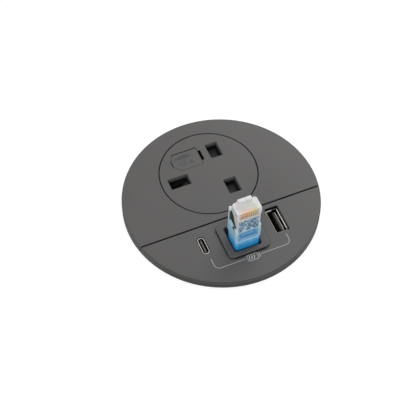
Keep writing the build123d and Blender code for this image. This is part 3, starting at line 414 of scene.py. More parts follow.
def gold_plate():
    """Gold whose tone runs from reddish to greenish across the plug, as the conductors behind it do, with
    painted shade on the strips deep in the wide port.
    """
    material, tree, shader = new_finish("gold_plate")
    set_values(shader, {"Metallic": 1.0})
    streaks = object_noise(tree, 500, 3, (8, 1, 1))
    tint(tree, shader, streaks, (0.92, 0.46, 0.24), (1.0, 0.6, 0.34))
    gloss_between(tree, shader, streaks, 0.3, 0.42)
    grain(tree, shader, streaks, SMOOTH)
    x = object_axes(tree)[0]
    lay_over(tree, span(tree, x, 0.0, 40.0, 3.5), (0.8, 0.6, 0.22))
    # Painted shade: the strips deep in the wide port, beyond 12 mm, are laid dark brown.
    lay_over(tree, span(tree, x, 12.0, 40.0, 1.0), (0.16, 0.1, 0.05))
    return material


finishes["contact_brass"] = metal("rolled_brass", (0.72, 0.53, 0.26), (0.25, 0.38))
finishes["spring_steel"] = metal("spring_wire", (0.55, 0.55, 0.56), (0.25, 0.35))
finishes["screw_steel"] = metal("zinc_plate", (0.66, 0.66, 0.64), (0.3, 0.42), (1, 1, 1))
finishes["cap_plate"] = metal("nickel_fuse_cap", (0.75, 0.74, 0.72), (0.15, 0.25))
finishes["shell_steel"] = port_shell()
finishes["contact_gold"] = gold_plate()
print("finishes so far:", len(finishes))

# %% [markdown]
# ## The fuse tube, the board and the striped lead
# The ceramic tube is a pale glaze. The board's lacquer shows the copper under it as darker tracks, which
# a stretched noise gives. The earth lead is green with yellow stripes, from a wave that is turned against
# its axis. These pieces are mostly hidden, so one pattern each is enough.

# %% Ceramic, board and striped insulation
def board_lacquer():
    """Green lacquer with tracks that show through it."""
    material, tree, shader = new_finish("board_lacquer")
    tracks = object_noise(tree, 350, 0, (1, 0.25, 1))
    tint(tree, shader, tracks, (0.012, 0.09, 0.03), (0.02, 0.17, 0.06))
    set_values(shader, {"Roughness": 0.3})
    grain(tree, shader, tracks, 0.00003)
    return material


def striped_insulation():
    """Green insulation with yellow stripes."""
    material, tree, shader = new_finish("green_yellow_insulation")
    place = tree.nodes.new("ShaderNodeTexCoord")
    turn = tree.nodes.new("ShaderNodeMapping")
    wave = tree.nodes.new("ShaderNodeTexWave")
    set_values(turn, {"Rotation": (0, 0, math.radians(20))})
    set_values(wave, {"Scale": 110})
    wave.bands_direction = "DIAGONAL"
    tree.links.new(place.outputs["Object"], turn.inputs["Vector"])
    tree.links.new(turn.outputs["Vector"], wave.inputs["Vector"])
    tint(tree, shader, wave, (0.03, 0.25, 0.04), (0.75, 0.62, 0.03))
    set_values(shader, {"Roughness": 0.35})
    return material


finishes["fuse_ceramic"] = moulded("glazed_ceramic", (0.8, 0.76, 0.68), 0.03, (0.12, 0.2), depth=0.000001)
finishes["board_green"] = board_lacquer()
finishes["lead_earth_green"] = striped_insulation()
print("finishes so far:", len(finishes))

# %% [markdown]
# ## What shows through the clear plug
# The plug's body is clear polycarbonate. Its many inner faces scatter the light, so it looks milky, and
# what lies behind its walls shows through. Four helpers paint that and the edges. The first finds the edges
# for a painted highlight: where two faces meet, light leaves the plastic and the edge looks white, and there
# the soft normal of a bevel node leans away from the true one. The others set colours side by side, scatter
# blots as of crimped strands, and draw thin lines between the eight contacts.

# %% Helpers for the clear walls
CONTACT_PITCH = 1.02
STRAND_COLOURS = [
    (0.02, 0.07, 0.13), (0.06, 0.17, 0.3), (0.3, 0.52, 0.7),
    (0.07, 0.2, 0.36), (0.45, 0.68, 0.85), (0.95, 0.95, 0.82),
]


def edge_highlight(tree, radius):
    """A mask that is one along the edges of a piece, where a painted highlight goes."""
    softened = tree.nodes.new("ShaderNodeBevel")
    softened.samples = 4
    set_values(softened, {"Radius": radius * MM})
    true = tree.nodes.new("ShaderNodeNewGeometry")
    lean = tree.nodes.new("ShaderNodeVectorMath")
    lean.operation = "DOT_PRODUCT"
    tree.links.new(softened.outputs["Normal"], lean.inputs[0])
    tree.links.new(true.outputs["True Normal"], lean.inputs[1])
    return map_value(tree, lean.outputs["Value"], 0.99, 0.85)


def colour_row(tree, value, low, high, colours, mode="LINEAR"):
    """Colours side by side between two values in millimetres."""
    ramp = tree.nodes.new("ShaderNodeValToRGB")
    ramp.color_ramp.interpolation = mode
    stops = ramp.color_ramp.elements
    for number, colour in enumerate(colours):
        stop = stops[number] if number < 2 else stops.new(1)
        stop.position = number / len(colours)
        stop.color = (*colour, 1)
    tree.links.new(map_value(tree, value, low * MM, high * MM), ramp.inputs["Fac"])
    return ramp.outputs["Color"]


def mottled(tree, grain_mm):
    """Crimped strands behind a clear wall: dark blots with pale specks."""
    blots = object_noise(tree, 1 / (grain_mm * MM), 3)
    return colour_row(tree, blots.outputs["Fac"], 0.32 / MM, 0.68 / MM, STRAND_COLOURS)


def slot_lines(tree, across):
    """A mask of thin lines between the eight contacts."""
    fold = calculate(tree, "PINGPONG", calculate(tree, "DIVIDE", across, CONTACT_PITCH * MM), 0.5)
    return map_value(tree, fold, 0.2, 0.1)


print("strand colours:", len(STRAND_COLOURS))

# %% [markdown]
# ## The clear plug
# From its nose down, the plug shows pale insulations that run from reddish to greenish, the gold of its
# contacts, the mottled strain relief in a window, a blue panel with a pale border, and the blue sleeve of
# the cable behind it all. True glass over that would turn dark, so the walls are mostly scatter with a
# share of transmission, and each zone is laid over them by its mask. Heights are counted from the face of
# the covers.

# %% Clear plastic with its zones
BAND_TINTS = [
    (0.92, 0.45, 0.24), (0.86, 0.47, 0.23), (0.74, 0.5, 0.22), (0.64, 0.5, 0.2), (0.56, 0.5, 0.24),
]
NOSE_TINTS = [
    (1.0, 0.78, 0.74), (1.0, 0.86, 0.8), (0.94, 0.92, 0.84), (0.92, 0.94, 0.8), (0.86, 0.92, 0.78),
]
SLOT_BROWN = (0.3, 0.19, 0.08)
SLEEVE_BLUE = (0.42, 0.72, 0.96)
BORDER_BLUE = (0.46, 0.75, 0.96)
PANEL_BLUE = (0.1, 0.4, 0.78)
LABEL_BLUE = (0.45, 0.75, 0.96)
HIGHLIGHT_WHITE = (1.0, 1.0, 1.0)
ROW_HALF = 4.2


def clear_plug():
    """Milky clear plastic, from the blue rear to the tinted nose. Returns the number of its zones too."""
    material, tree, shader = new_finish("clear_plug_plastic")
    haze = object_noise(tree, 900, 2)
    tint(tree, shader, haze, (0.78, 0.79, 0.8), (0.95, 0.95, 0.96))
    gloss_between(tree, shader, haze, 0.08, 0.18)
    x, y, z = object_axes(tree)
    front = (y, -40, -28.2, 0.2)

    def heights(low, high, soft, strength=1.0):
        """A limit between two heights over the covers."""
        return z, TOP_MM + low, TOP_MM + high, soft, strength

    band = zone(tree, heights(23.2, 27.3, 0.5, 0.75), (x, -4.3, 4.3, 0.4), front)
    zones = (
        (
            zone(tree, heights(22.5, 28.4, 0.6, 0.55), (x, -4.6, 4.6, 0.4)),
            colour_row(tree, x, -ROW_HALF, ROW_HALF, NOSE_TINTS),
        ),
        (band, colour_row(tree, x, -ROW_HALF, ROW_HALF, BAND_TINTS)),
        (both(tree, band, slot_lines(tree, x)), SLOT_BROWN),
        (zone(tree, (z, 0, TOP_MM + 16.5, 3.0, 0.92)), SLEEVE_BLUE),
        (zone(tree, (x, -4.9, 4.9, 0.4), heights(13.8, 21.8, 0.6, 0.95), front), mottled(tree, 1.3)),
        (zone(tree, (x, -5.3, 5.3, 0.2), heights(6.2, 13.0, 0.2, 0.9), front), BORDER_BLUE),
        (zone(tree, (x, -4.6, 4.6, 0.3), heights(6.9, 12.0, 0.4), front), PANEL_BLUE),
        (zone(tree, (x, -3.2, 3.2, 0.4), heights(9.4, 10.8, 0.4, 0.5), front), LABEL_BLUE),
        # Painted highlight: the edges of the plug are laid white.
        (edge_highlight(tree, 0.4), HIGHLIGHT_WHITE),
    )
    for mask, colour in zones:
        lay_over(tree, mask, colour)
    set_values(shader, {"IOR": 1.4, "Transmission Weight": 0.18, "Subsurface Weight": 0.6})
    set_values(shader, {"Subsurface Radius": (1, 1, 1), "Subsurface Scale": 0.6 * MM})
    return material, len(zones)


finishes["plug_clear"], zone_count = clear_plug()
print("zones laid over the clear plastic:", zone_count)

# %% [markdown]
# ## The boot and the conductors
# The boot is soft, saturated plastic. Its two guards beside the latch are thin, so they look almost clear
# above the block, and the colour runs from blue to pale with the height. Between the guards the gap is so
# deep that its edges lie in near-black shade, which is painted on, and the edges of the boot get a painted
# highlight. Masks lay these over the haze of the plastic, as on the plug. The eight conductors take their
# colours by where they lie across the plug.

# %% Blue boot and coloured conductors
BOOT_BLOCK_TOP = TOP_MM + 6.4
CONDUCTOR_COLOURS = [
    (0.85, 0.5, 0.3), (0.8, 0.22, 0.02), (0.5, 0.75, 0.5), (0.03, 0.12, 0.6),
    (0.45, 0.6, 0.85), (0.03, 0.35, 0.08), (0.6, 0.45, 0.35), (0.2, 0.07, 0.03),
]


def boot_plastic():
    """Blue plastic that is pale where its walls are thin, above the block of the boot, with a painted
    highlight on its edges and painted shade in the gap between its guards.
    """
    material, tree, shader = new_finish("blue_boot_plastic")
    haze = object_noise(tree, 400, 2)
    tint(tree, shader, haze, (0.045, 0.42, 0.9), (0.06, 0.48, 0.98))
    gloss_between(tree, shader, haze, 0.18, 0.28)
    _, y, z = object_axes(tree)
    lay_over(tree, span(tree, z, BOOT_BLOCK_TOP - 0.9, FAR, 2.4), (0.42, 0.75, 1.0))
    lay_over(tree, span(tree, z, BOOT_BLOCK_TOP + 8.0, FAR, 4.0), (0.93, 0.95, 0.94))
    # Painted highlight on the edges of the boot.
    lay_over(tree, edge_highlight(tree, 0.4), (0.72, 0.89, 0.99))
    # Painted shade in the deep gap between the guards and at its foot.
    gap = zone(tree, (z, TOP_MM + 15.0, TOP_MM + 21.6, 0.5, 0.9), (y, -25.0, -21.8, 0.15))
    gap_foot = zone(tree, (z, TOP_MM + 12.3, TOP_MM + 14.4, 0.4, 0.8), (y, -27.4, -25.2, 0.5))
    lay_over(tree, either(tree, gap, gap_foot), (0.035, 0.037, 0.037))
    set_values(shader, {"IOR": 1.4, "Transmission Weight": 0.1, "Subsurface Weight": 0.8})
    set_values(shader, {"Subsurface Radius": (0.7, 0.85, 1), "Subsurface Scale": 0.8 * MM})
    return material


def conductor_colours():
    """Eight conductors in the usual order, by where they lie across the plug."""
    material, tree, shader = new_finish("conductor_insulation")
    edge = 4 * CONTACT_PITCH
    row = colour_row(tree, object_axes(tree)[0], -edge, edge, CONDUCTOR_COLOURS, "CONSTANT")
    tree.links.new(row, shader.inputs["Base Color"])
    gloss_between(tree, shader, object_noise(tree, 700, 1), 0.35, 0.45)
    return material


finishes["boot_blue"] = boot_plastic()
finishes["conductor_sleeves"] = conductor_colours()
print("finishes in all:", len(finishes))

# %% [markdown]
# ## Dressing the nodes
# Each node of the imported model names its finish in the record. The loop below hands every node the
# material that belongs to it, and it would stop at a slot that has no finish.

# %% Hand out the finishes
for part in frame["record"]["subparts"]:
    mesh = nodes[part["node"]].data
    mesh.materials.clear()
    mesh.materials.append(finishes[part["material_slot"]])

# %% [markdown]
# ## Making a new piece
# A new piece starts as a bmesh, because the editor's own commands need a selection and a bmesh needs
# none. Two helpers give it a name, a finish and the body that carries it. Its place is in its mesh, and
# its object stays at the origin, as the nodes' objects do. Many small pieces are blocks, so the third
# helper adds a box, and bevels and turns it on its own centre before it is moved to its place.

# %% Helpers for new pieces
def to_object(name, bm, material):
    """Turns a bmesh into an object of the scene."""
    bmesh.ops.recalc_face_normals(bm, faces=bm.faces)
    mesh = bpy.data.meshes.new(name)
    bm.to_mesh(mesh)
    bm.free()
    mesh.materials.append(material)
    piece = bpy.data.objects.new(name, mesh)
    scene.collection.objects.link(piece)
    return piece


def finish_piece(name, bm, body, slot, material=None):
    """A new piece that rides on a body, in the finish of a slot or in a material of its own."""
    piece = to_object(name, bm, material or finishes[slot])
    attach(piece, body)
    return piece


def add_block(bm, centre, size, edge=0.0, turn=None):
    """A box in millimetres, with softened edges."""
    made = bmesh.ops.create_cube(bm, size=1.0)["verts"]
    bmesh.ops.scale(bm, vec=Vector(size) * MM, verts=made)
    if edge:
        rims = list({e for v in made for e in v.link_edges})
        made = bmesh.ops.bevel(
            bm, geom=rims, offset=edge * MM, segments=2, profile=0.5, affect="EDGES", material=-1
        )["verts"]
    if turn is not None:
        bmesh.ops.rotate(bm, cent=(0, 0, 0), matrix=turn, verts=made)
    bmesh.ops.translate(bm, vec=Vector(centre) * MM, verts=made)


# %% [markdown]
# ## The thread on the barrel
# The barrel carries a coarse thread with a pitch of 4 mm, broken on both sides by the keyways of the
# washer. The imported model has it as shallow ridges, and here each ridge gets the flat crest and the steep
# flanks that a mould gives it. One trapezoid is spun through almost half a turn. The half turn leans by
# half a pitch, and the next one leans the other way, so that their ends meet across the keyway.

# %% Crests of the thread, in half turns
THREAD_PITCH = 4.0
THREAD_START = -53.0
THREAD_TURNS = 11
FOOT_R, FOOT_HALF = 38.9, 1.0
CREST_R, CREST_HALF = 39.4, 0.5
HALF_KEYWAY = math.radians(4.5)


def add_half_turn(bm, middle, side):
    """A ridge from one keyway to the other, in millimetres. Side is 0 or 1."""
    first = len(bm.verts)
    outline = ((FOOT_R, -FOOT_HALF), (CREST_R, -CREST_HALF), (CREST_R, CREST_HALF), (FOOT_R, FOOT_HALF))
    corners = [bm.verts.new((r * MM, 0, (middle + z) * MM)) for r, z in outline]
    start = bm.faces.new(corners)
    turned = Matrix.Rotation(side * math.pi + HALF_KEYWAY, 3, "Z")
    bmesh.ops.rotate(bm, cent=(0, 0, 0), matrix=turned, verts=corners)
    bmesh.ops.spin(
        bm, geom=[start], cent=(0, 0, 0), axis=(0, 0, 1), angle=math.pi - 2 * HALF_KEYWAY, steps=40
    )
    leaned = Matrix.Rotation(math.atan2(THREAD_PITCH / 2, 2 * CREST_R) * (1 - 2 * side), 3, "Y")
    bm.verts.ensure_lookup_table()
    bmesh.ops.rotate(bm, cent=(0, 0, middle * MM), matrix=leaned, verts=bm.verts[first:])


thread = bmesh.new()
for number in range(2 * THREAD_TURNS):
    add_half_turn(thread, THREAD_START + (number + 0.5) * THREAD_PITCH / 2, number % 2)
barrel_thread = finish_piece("barrel_thread", thread, "module", "cover_grey")
print("thread:", 2 * THREAD_TURNS, "half turns,", len(barrel_thread.data.polygons), "faces")

# %% [markdown]
# ## Printing a line
# A pale line joins the two charging ports under the opening, with a battery in its middle. It is printed,
# so it is almost flat. A picture on the cover would do as well, but a thin mesh keeps a sharp edge from
# near. A wire of points gets its corners rounded with a vertex bevel, then it is pulled up by a hair and
# thickened to the width of the line.

# %% Print colour and the line helper
PRINT_HEIGHT = 0.03


def vertices(parts):
    """The vertices among the parts that an operator returns."""
    return [part for part in parts if isinstance(part, bmesh.types.BMVert)]


def faces(parts):
    """The faces among the parts that an operator returns."""
    return [part for part in parts if isinstance(part, bmesh.types.BMFace)]


def pale_print():
    """Matt pale grey ink."""
    material, tree, shader = new_finish("pale_grey_print")
    drift = object_noise(tree, 3000, 1)
    tint(tree, shader, drift, (0.36, 0.36, 0.35), (0.46, 0.46, 0.45))
    set_values(shader, {"Roughness": 0.6})
    return material


def draw_line(bm, points, width, corner=0.0, closed=False, height=PRINT_HEIGHT):
    """A flat line on the cover, through points in millimetres, with round corners."""
    stops = [bm.verts.new((x * MM, y * MM, TOP)) for x, y in points]
    strokes = [bm.edges.new(pair) for pair in zip(stops, stops[1:])]
    if closed:
        strokes.append(bm.edges.new((stops[-1], stops[0])))
    turns = stops if closed else stops[1:-1]
    if corner and turns:
        rounded = bmesh.ops.bevel(
            bm, geom=turns, offset=corner * MM, segments=6, profile=0.5, affect="VERTICES", material=-1
        )["verts"]
        kept = {stop for stop in stops if stop.is_valid}
        strokes = list({e for v in set(rounded) | kept for e in v.link_edges})
    pulled = bmesh.ops.extrude_edge_only(bm, edges=strokes)["geom"]
    bmesh.ops.translate(bm, vec=(0, 0, height * MM), verts=vertices(pulled))
    bmesh.ops.recalc_face_normals(bm, faces=faces(pulled))
    bmesh.ops.solidify(bm, geom=faces(pulled), thickness=width * MM)


ink = pale_print()
print("print stands", PRINT_HEIGHT, "mm over the cover")

# %% [markdown]
# ## The line between the ports, and the battery
# The line starts under each port, turns a round corner and ends beside the battery. The battery is a
# closed line with a short bar for its cap and three slanted bars for its charge.

# %% Printed line and battery
LINE_LEFT, LINE_RIGHT = -18.0, 19.3
LINE_START, LINE_Y, SIGN_Y = -29.5, -35.6, -35.7
LINE_W, LINE_CORNER = 0.3, 2.6
BATTERY = [(-2.7, -34.0), (2.6, -34.0), (2.6, -37.4), (-2.7, -37.4)]
SLANT = Matrix.Rotation(math.radians(-14), 3, "Z")
print_middle = TOP_MM + PRINT_HEIGHT / 2
sign = bmesh.new()
left_part = [(LINE_LEFT, LINE_START), (LINE_LEFT, LINE_Y), (-3.4, LINE_Y)]
right_part = [(4.0, LINE_Y), (LINE_RIGHT, LINE_Y), (LINE_RIGHT, LINE_START - 0.3)]
draw_line(sign, left_part, LINE_W, LINE_CORNER)
draw_line(sign, right_part, LINE_W, LINE_CORNER)
draw_line(sign, BATTERY, LINE_W, 0.6, closed=True)
add_block(sign, (3.4, SIGN_Y, print_middle), (0.4, 2.4, PRINT_HEIGHT))
for x in (-1.6, -0.45, 0.7):
    add_block(sign, (x, SIGN_Y, print_middle), (0.5, 2.1, PRINT_HEIGHT), turn=SLANT)
printed_line = finish_piece("printed_line", sign, "module", None, ink)
print("sign:", len(printed_line.data.polygons), "faces")

# %% [markdown]
# ## Raised sign on the fuse carrier
# The carrier's tab shows a small raised sign: the usual fuse, a rectangle with a line through it, and its
# rating under it. It is the plastic of the tab and a sixth of a millimetre high, so it shows by its edges
# alone. The rating is a text curve first, and it becomes a mesh before it is moved to its place.

# %% Fuse sign and rating
RAISED, RAISED_W = 0.16, 0.32
FUSE_BODY = [(-10.3, 27.4), (-5.3, 27.4), (-5.3, 29.2), (-10.3, 29.2)]
FUSE_WIRE = [(-12.0, 28.3), (-3.6, 28.3)]
raised = bmesh.new()
draw_line(raised, FUSE_BODY, RAISED_W, closed=True, height=RAISED)
draw_line(raised, FUSE_WIRE, RAISED_W, height=RAISED)
finish_piece("fuse_sign", raised, "fuse_unit", "cover_grey")


def raised_letters(name, words, centre, size, body, slot):
    """Short text as a raised piece, in millimetres."""
    curve = bpy.data.curves.new(name + "_outline", "FONT")
    curve.body = words
    curve.size = size * MM
    curve.align_x = "CENTER"
    curve.align_y = "CENTER"
    curve.extrude = RAISED / 2 * MM
    helper = bpy.data.objects.new(name + "_outline", curve)
    scene.collection.objects.link(helper)
    bpy.context.view_layer.update()
    settled = helper.evaluated_get(bpy.context.evaluated_depsgraph_get())
    letters = bpy.data.meshes.new_from_object(settled)
    bpy.data.objects.remove(helper)
    bm = bmesh.new()
    bm.from_mesh(letters)
    bmesh.ops.remove_doubles(bm, verts=bm.verts, dist=0.000001)
    bmesh.ops.translate(bm, vec=Vector((*centre, TOP_MM + RAISED / 2)) * MM, verts=bm.verts)
    return finish_piece(name, bm, body, slot)


rating = raised_letters("fuse_rating", "13 A", (-7.2, 24.5), 3.7, "fuse_unit", "cover_grey")
print("rating:", len(rating.data.polygons), "faces")

# %% [markdown]
# ## Gold strips in the ports
# The tongue of the USB-A port carries four gold strips on the side that faces the gap. The thin blade of
# the USB-C port has them on both sides. They could be painted on, but real ones stand proud of the
# plastic and catch the light, so they are small blocks.

# %% Contact strips
TONGUE_FACE_X = 18.46
A_STRIP, A_STRIP_DEPTH = (0.16, 1.0, 5.0), 5.4
a_middle_y = (port_low.y + port_high.y) / 2
strips = bmesh.new()
for offset in (-3.5, -1.0, 1.0, 3.5):
    add_block(strips, (TONGUE_FACE_X, a_middle_y + offset, a_tongue_top - A_STRIP_DEPTH), A_STRIP, 0.04)
finish_piece("usb_a_strips", strips, "module", "contact_gold")

C_MIDDLE_X, C_MIDDLE_Y, C_FACE = -18.2, -21.6, 0.36
C_STRIP, C_STRIP_DEPTH = (0.08, 0.26, 3.6), 2.3
STRIP_COUNT, STRIP_PITCH = 12, 0.5
strips = bmesh.new()
for side in (-1, 1):
    for number in range(STRIP_COUNT):
        y = C_MIDDLE_Y + (number - (STRIP_COUNT - 1) / 2) * STRIP_PITCH
        add_block(strips, (C_MIDDLE_X + side * C_FACE, y, c_tongue_top - C_STRIP_DEPTH), C_STRIP)
finish_piece("usb_c_strips", strips, "module", "contact_gold")
print("strips in the ports:", 4 + 2 * STRIP_COUNT)

# %% [markdown]
# ## Springs in the USB-A shell
# Two sheet springs are bent out of each wide wall of the shell, and they grip the plug. Each is a thin
# strip with a knee in its middle. Two blocks that lean opposite ways show the same knee as a bent sheet,
# with far fewer faces.

# %% Shell springs
LEAF, LEAF_LEAN = (0.12, 1.7, 2.2), math.radians(9)
LEAF_FROM_EDGE = 0.53
knee_z = port_high.z - 3.4
springs = bmesh.new()
for x, inward in ((port_low.x + LEAF_FROM_EDGE, 1), (port_high.x - LEAF_FROM_EDGE, -1)):
    for offset in (-2.9, 2.9):
        for end in (-1, 1):
            lean = Matrix.Rotation(LEAF_LEAN * end * inward, 3, "Y")
            add_block(springs, (x, a_middle_y + offset, knee_z + end), LEAF, 0.03, lean)
shell_springs = finish_piece("usb_a_springs", springs, "module", "shell_steel")
print("springs:", len(shell_springs.data.polygons), "faces")

# %% [markdown]
# ## Contact edges and webs in the nose
# Each contact is a thin gold blade in a slot of the nose, and its upper edge lies flush with the plastic.
# Behind the blade the slot is closed by a clear web. Both are rows of eight small blocks, one colour
# each. Two more webs join the flanks of the plug to the guards of its boot.

# %% Gold edges and clear webs
CONTACTS = 8
EDGE, EDGE_Y, EDGE_HEIGHT = (0.44, 1.2, 2.9), -28.75, 26.5
WEB, WEB_Y, WEB_HEIGHT = (0.48, 1.98, 2.16), -27.15, 26.9
FLANK_WEB, FLANK_X, FLANK_Y, FLANK_HEIGHT = (0.4, 1.3, 3.2), 5.22, -22.65, 23.1
edges_row = bmesh.new()
webs_row = bmesh.new()
for number in range(CONTACTS):
    x = (number - (CONTACTS - 1) / 2) * CONTACT_PITCH
    add_block(edges_row, (x, EDGE_Y, TOP_MM + EDGE_HEIGHT), EDGE, 0.06)
    add_block(webs_row, (x, WEB_Y, TOP_MM + WEB_HEIGHT), WEB)
for side in (-1, 1):
    add_block(webs_row, (side * FLANK_X, FLANK_Y, TOP_MM + FLANK_HEIGHT), FLANK_WEB, 0.05)
gold_edges = finish_piece("contact_edges", edges_row, "data_plug", "contact_gold")
clear_webs = finish_piece("slot_webs", webs_row, "data_plug", "plug_clear")
print("edges:", len(gold_edges.data.polygons), "faces, webs:", len(clear_webs.data.polygons), "faces")

# %% [markdown]
# ## The gap behind the plug's legs
# Seen from its side, the plug is notched behind its front wall, where the latch swings in. The notch
# tapers, and in its depth it lies in near-black shade. The imported body stays as it is, so each flank gets
# this shade painted on as a thin dark triangle, an inlay: one face, pulled out by a hair.

# %% Dark triangles of painted shade on the flanks
INLAY_X, INLAY_T = 5.47, 0.12
NOTCH = ((-22.8, 23.2), (-22.8, 15.4), (-28.2, 15.4))
notch_shade = bmesh.new()
# A dark triangle of painted shade on each flank.
for side in (-1, 1):
    corners = [notch_shade.verts.new((side * INLAY_X * MM, y * MM, TOP + height * MM)) for y, height in NOTCH]
    face = notch_shade.faces.new(corners)
    pulled = bmesh.ops.extrude_face_region(notch_shade, geom=[face], use_keep_orig=True)["geom"]
    bmesh.ops.translate(notch_shade, vec=(side * INLAY_T * MM, 0, 0), verts=vertices(pulled))
inlays = finish_piece("plug_notch_shade", notch_shade, "data_plug", "socket_moulding")
print("inlays:", len(inlays.data.polygons), "faces")

# %% [markdown]
# ## The shutter's spring
# The shutter is pushed back by a coil of round wire. A circle is leaned to the pitch and spun round the
# axis of the coil, with a small step along it each time, which is how a screw moves, so the wire stays
# round.

# %% Coil of the shutter's spring
def add_coil(bm, start, end, axis, radius, wire_r, turns, steps=24):
    """A round wire wound round an axis along X, in millimetres, closed at both ends."""
    lean = Matrix.Rotation(math.atan2(end - start, math.tau * turns * radius), 3, "Y")
    ring = bmesh.ops.create_circle(bm, cap_ends=True, radius=wire_r, segments=8)["verts"]
    bmesh.ops.rotate(bm, cent=(0, 0, 0), matrix=lean, verts=ring)
    bmesh.ops.translate(bm, vec=(start, axis[0] + radius, axis[1]), verts=ring)
    count = turns * steps
    bmesh.ops.spin(
        bm, geom=bm.faces[:], cent=(0, *axis), axis=(1, 0, 0), dvec=((end - start) / count, 0, 0),
        angle=math.tau * turns, steps=count,
    )
    bmesh.ops.scale(bm, vec=(MM, MM, MM), verts=bm.verts[:])


SPRING_START, SPRING_END = 10.6, 20.85
SPRING_AXIS = (15.4, -1.2)
COIL_R, WIRE_R, TURNS = 1.15, 0.2, 6
coil = bmesh.new()
add_coil(coil, SPRING_START + WIRE_R, SPRING_END - WIRE_R, SPRING_AXIS, COIL_R, WIRE_R, TURNS)
return_spring = finish_piece("return_spring", coil, "module", "spring_steel")
return_spring.data.shade_smooth()
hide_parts("shutter_spring")
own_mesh(return_spring)

# %% [markdown]
# ## Screws in the base
# The three screws that close the base show their heads from below. Each is a hexagon head with a cross
# recess, and a shank that tapers to its end. The head's outline is filled around a cross-shaped hole and
# pulled up to its height, a disc closes the recess inside it, and a cone is the shank.

# %% Hexagon head with a cross recess
def cross_points(reach, arm):
    """Outline of a cross, counter-clockwise."""
    half = arm / 2
    quarter = [(half, reach), (half, half), (reach, half)]
    turned = []
    for turn in range(4):
        c, s = round(math.cos(turn * math.pi / 2)), round(math.sin(turn * math.pi / 2))
        turned += [(x * c + y * s, y * c - x * s) for x, y in quarter]
    return turned


def add_screw(bm, place, head_r, head_h, shank_r, length):
    """A screw that points up, its head's underside at place, in millimetres."""
    quarter_turn = Matrix.Rotation(math.pi / 2, 4, "Z")
    rim = bmesh.ops.create_circle(bm, radius=head_r, segments=6, matrix=quarter_turn)["verts"]
    loop = list({e for v in rim for e in v.link_edges})
    cross = [bm.verts.new((x, y, 0)) for x, y in cross_points(head_r * 0.56, head_r * 0.24)]
    cross_loop = [bm.edges.new((a, b)) for a, b in zip(cross, cross[1:] + cross[:1])]
    filled = bmesh.ops.triangle_fill(bm, edges=loop + cross_loop, use_beauty=True)["geom"]
    pulled = bmesh.ops.extrude_face_region(bm, geom=faces(filled), use_keep_orig=True)["geom"]
    tops = vertices(pulled)
    bmesh.ops.translate(bm, vec=(0, 0, head_h), verts=tops)
    disc_r = head_r * 0.8
    disc = bmesh.ops.create_cone(
        bm, cap_ends=True, segments=24, radius1=disc_r, radius2=disc_r, depth=head_h * 0.3,
        matrix=Matrix.Translation((0, 0, head_h * 0.82)),
    )["verts"]
    shank = bmesh.ops.create_cone(
        bm, cap_ends=True, segments=24, radius1=shank_r, radius2=shank_r * 0.8, depth=length,
        matrix=Matrix.Translation((0, 0, head_h + length / 2)),
    )["verts"]
    made = rim + cross + tops + disc + shank
    bmesh.ops.translate(bm, vec=Vector(place), verts=made)
    bmesh.ops.scale(bm, vec=(MM, MM, MM), verts=made)


screws_low, screws_high = box_mm("base_screws")
HEAD_R, HEAD_H, SHANK_R = 2.3, 1.5, 1.15
bolt_circle = screws_high.y - HEAD_R * math.cos(math.pi / 6)
base_screws = bmesh.new()
for angle in (90, 210, 330):
    across, along = math.cos(math.radians(angle)), math.sin(math.radians(angle))
    place = (bolt_circle * across, bolt_circle * along, screws_low.z)
    add_screw(base_screws, place, HEAD_R, HEAD_H, SHANK_R, screws_high.z - screws_low.z - HEAD_H)
screw_heads = finish_piece("cross_screws", base_screws, "module", "screw_steel")
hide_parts("base_screws")
print("screws on a circle of", round(bolt_circle, 2), "mm radius")

# %% [markdown]
# ## Desk and floor
# The module hangs in a desk, so a thin pale piece of desk top lies round it, only as large as it takes to
# hide the barrel from the camera. Both it and the floor far below are white to the camera, to gloss and
# to clear plastic, and they still take the object's shadow.

# %% Stage pieces
def white_stage(name):
    """A pale surface that camera, gloss and transmission rays see as white, but for the shadow on it."""
    material, tree, shader = new_finish(name)
    shadow = tree.nodes.new("ShaderNodeBsdfDiffuse")
    glow = tree.nodes.new("ShaderNodeEmission")
    set_values(shader, {"Base Color": (0.8, 0.8, 0.8, 1), "Roughness": 0.8, "Specular IOR Level": 0.0})
    set_values(shadow, {"Color": (0.4, 0.4, 0.4, 1)})
    set_values(glow, {"Strength": 0.75})
    seen = tree.nodes.new("ShaderNodeAddShader")
    rays = tree.nodes.new("ShaderNodeLightPath")
    mix = tree.nodes.new("ShaderNodeMixShader")
    clear_or_gloss = either(tree, rays.outputs["Is Transmission Ray"], rays.outputs["Is Glossy Ray"])
    shown = either(tree, rays.outputs["Is Camera Ray"], clear_or_gloss)
    tree.links.new(glow.outputs["Emission"], seen.inputs[0])
    tree.links.new(shadow.outputs["BSDF"], seen.inputs[1])
    tree.links.new(shown, mix.inputs["Fac"])
    tree.links.new(shader.outputs["BSDF"], mix.inputs[1])
    tree.links.new(seen.outputs["Shader"], mix.inputs[2])
    tree.links.new(mix.outputs["Shader"], tree.nodes["Material Output"].inputs["Surface"])
    return material


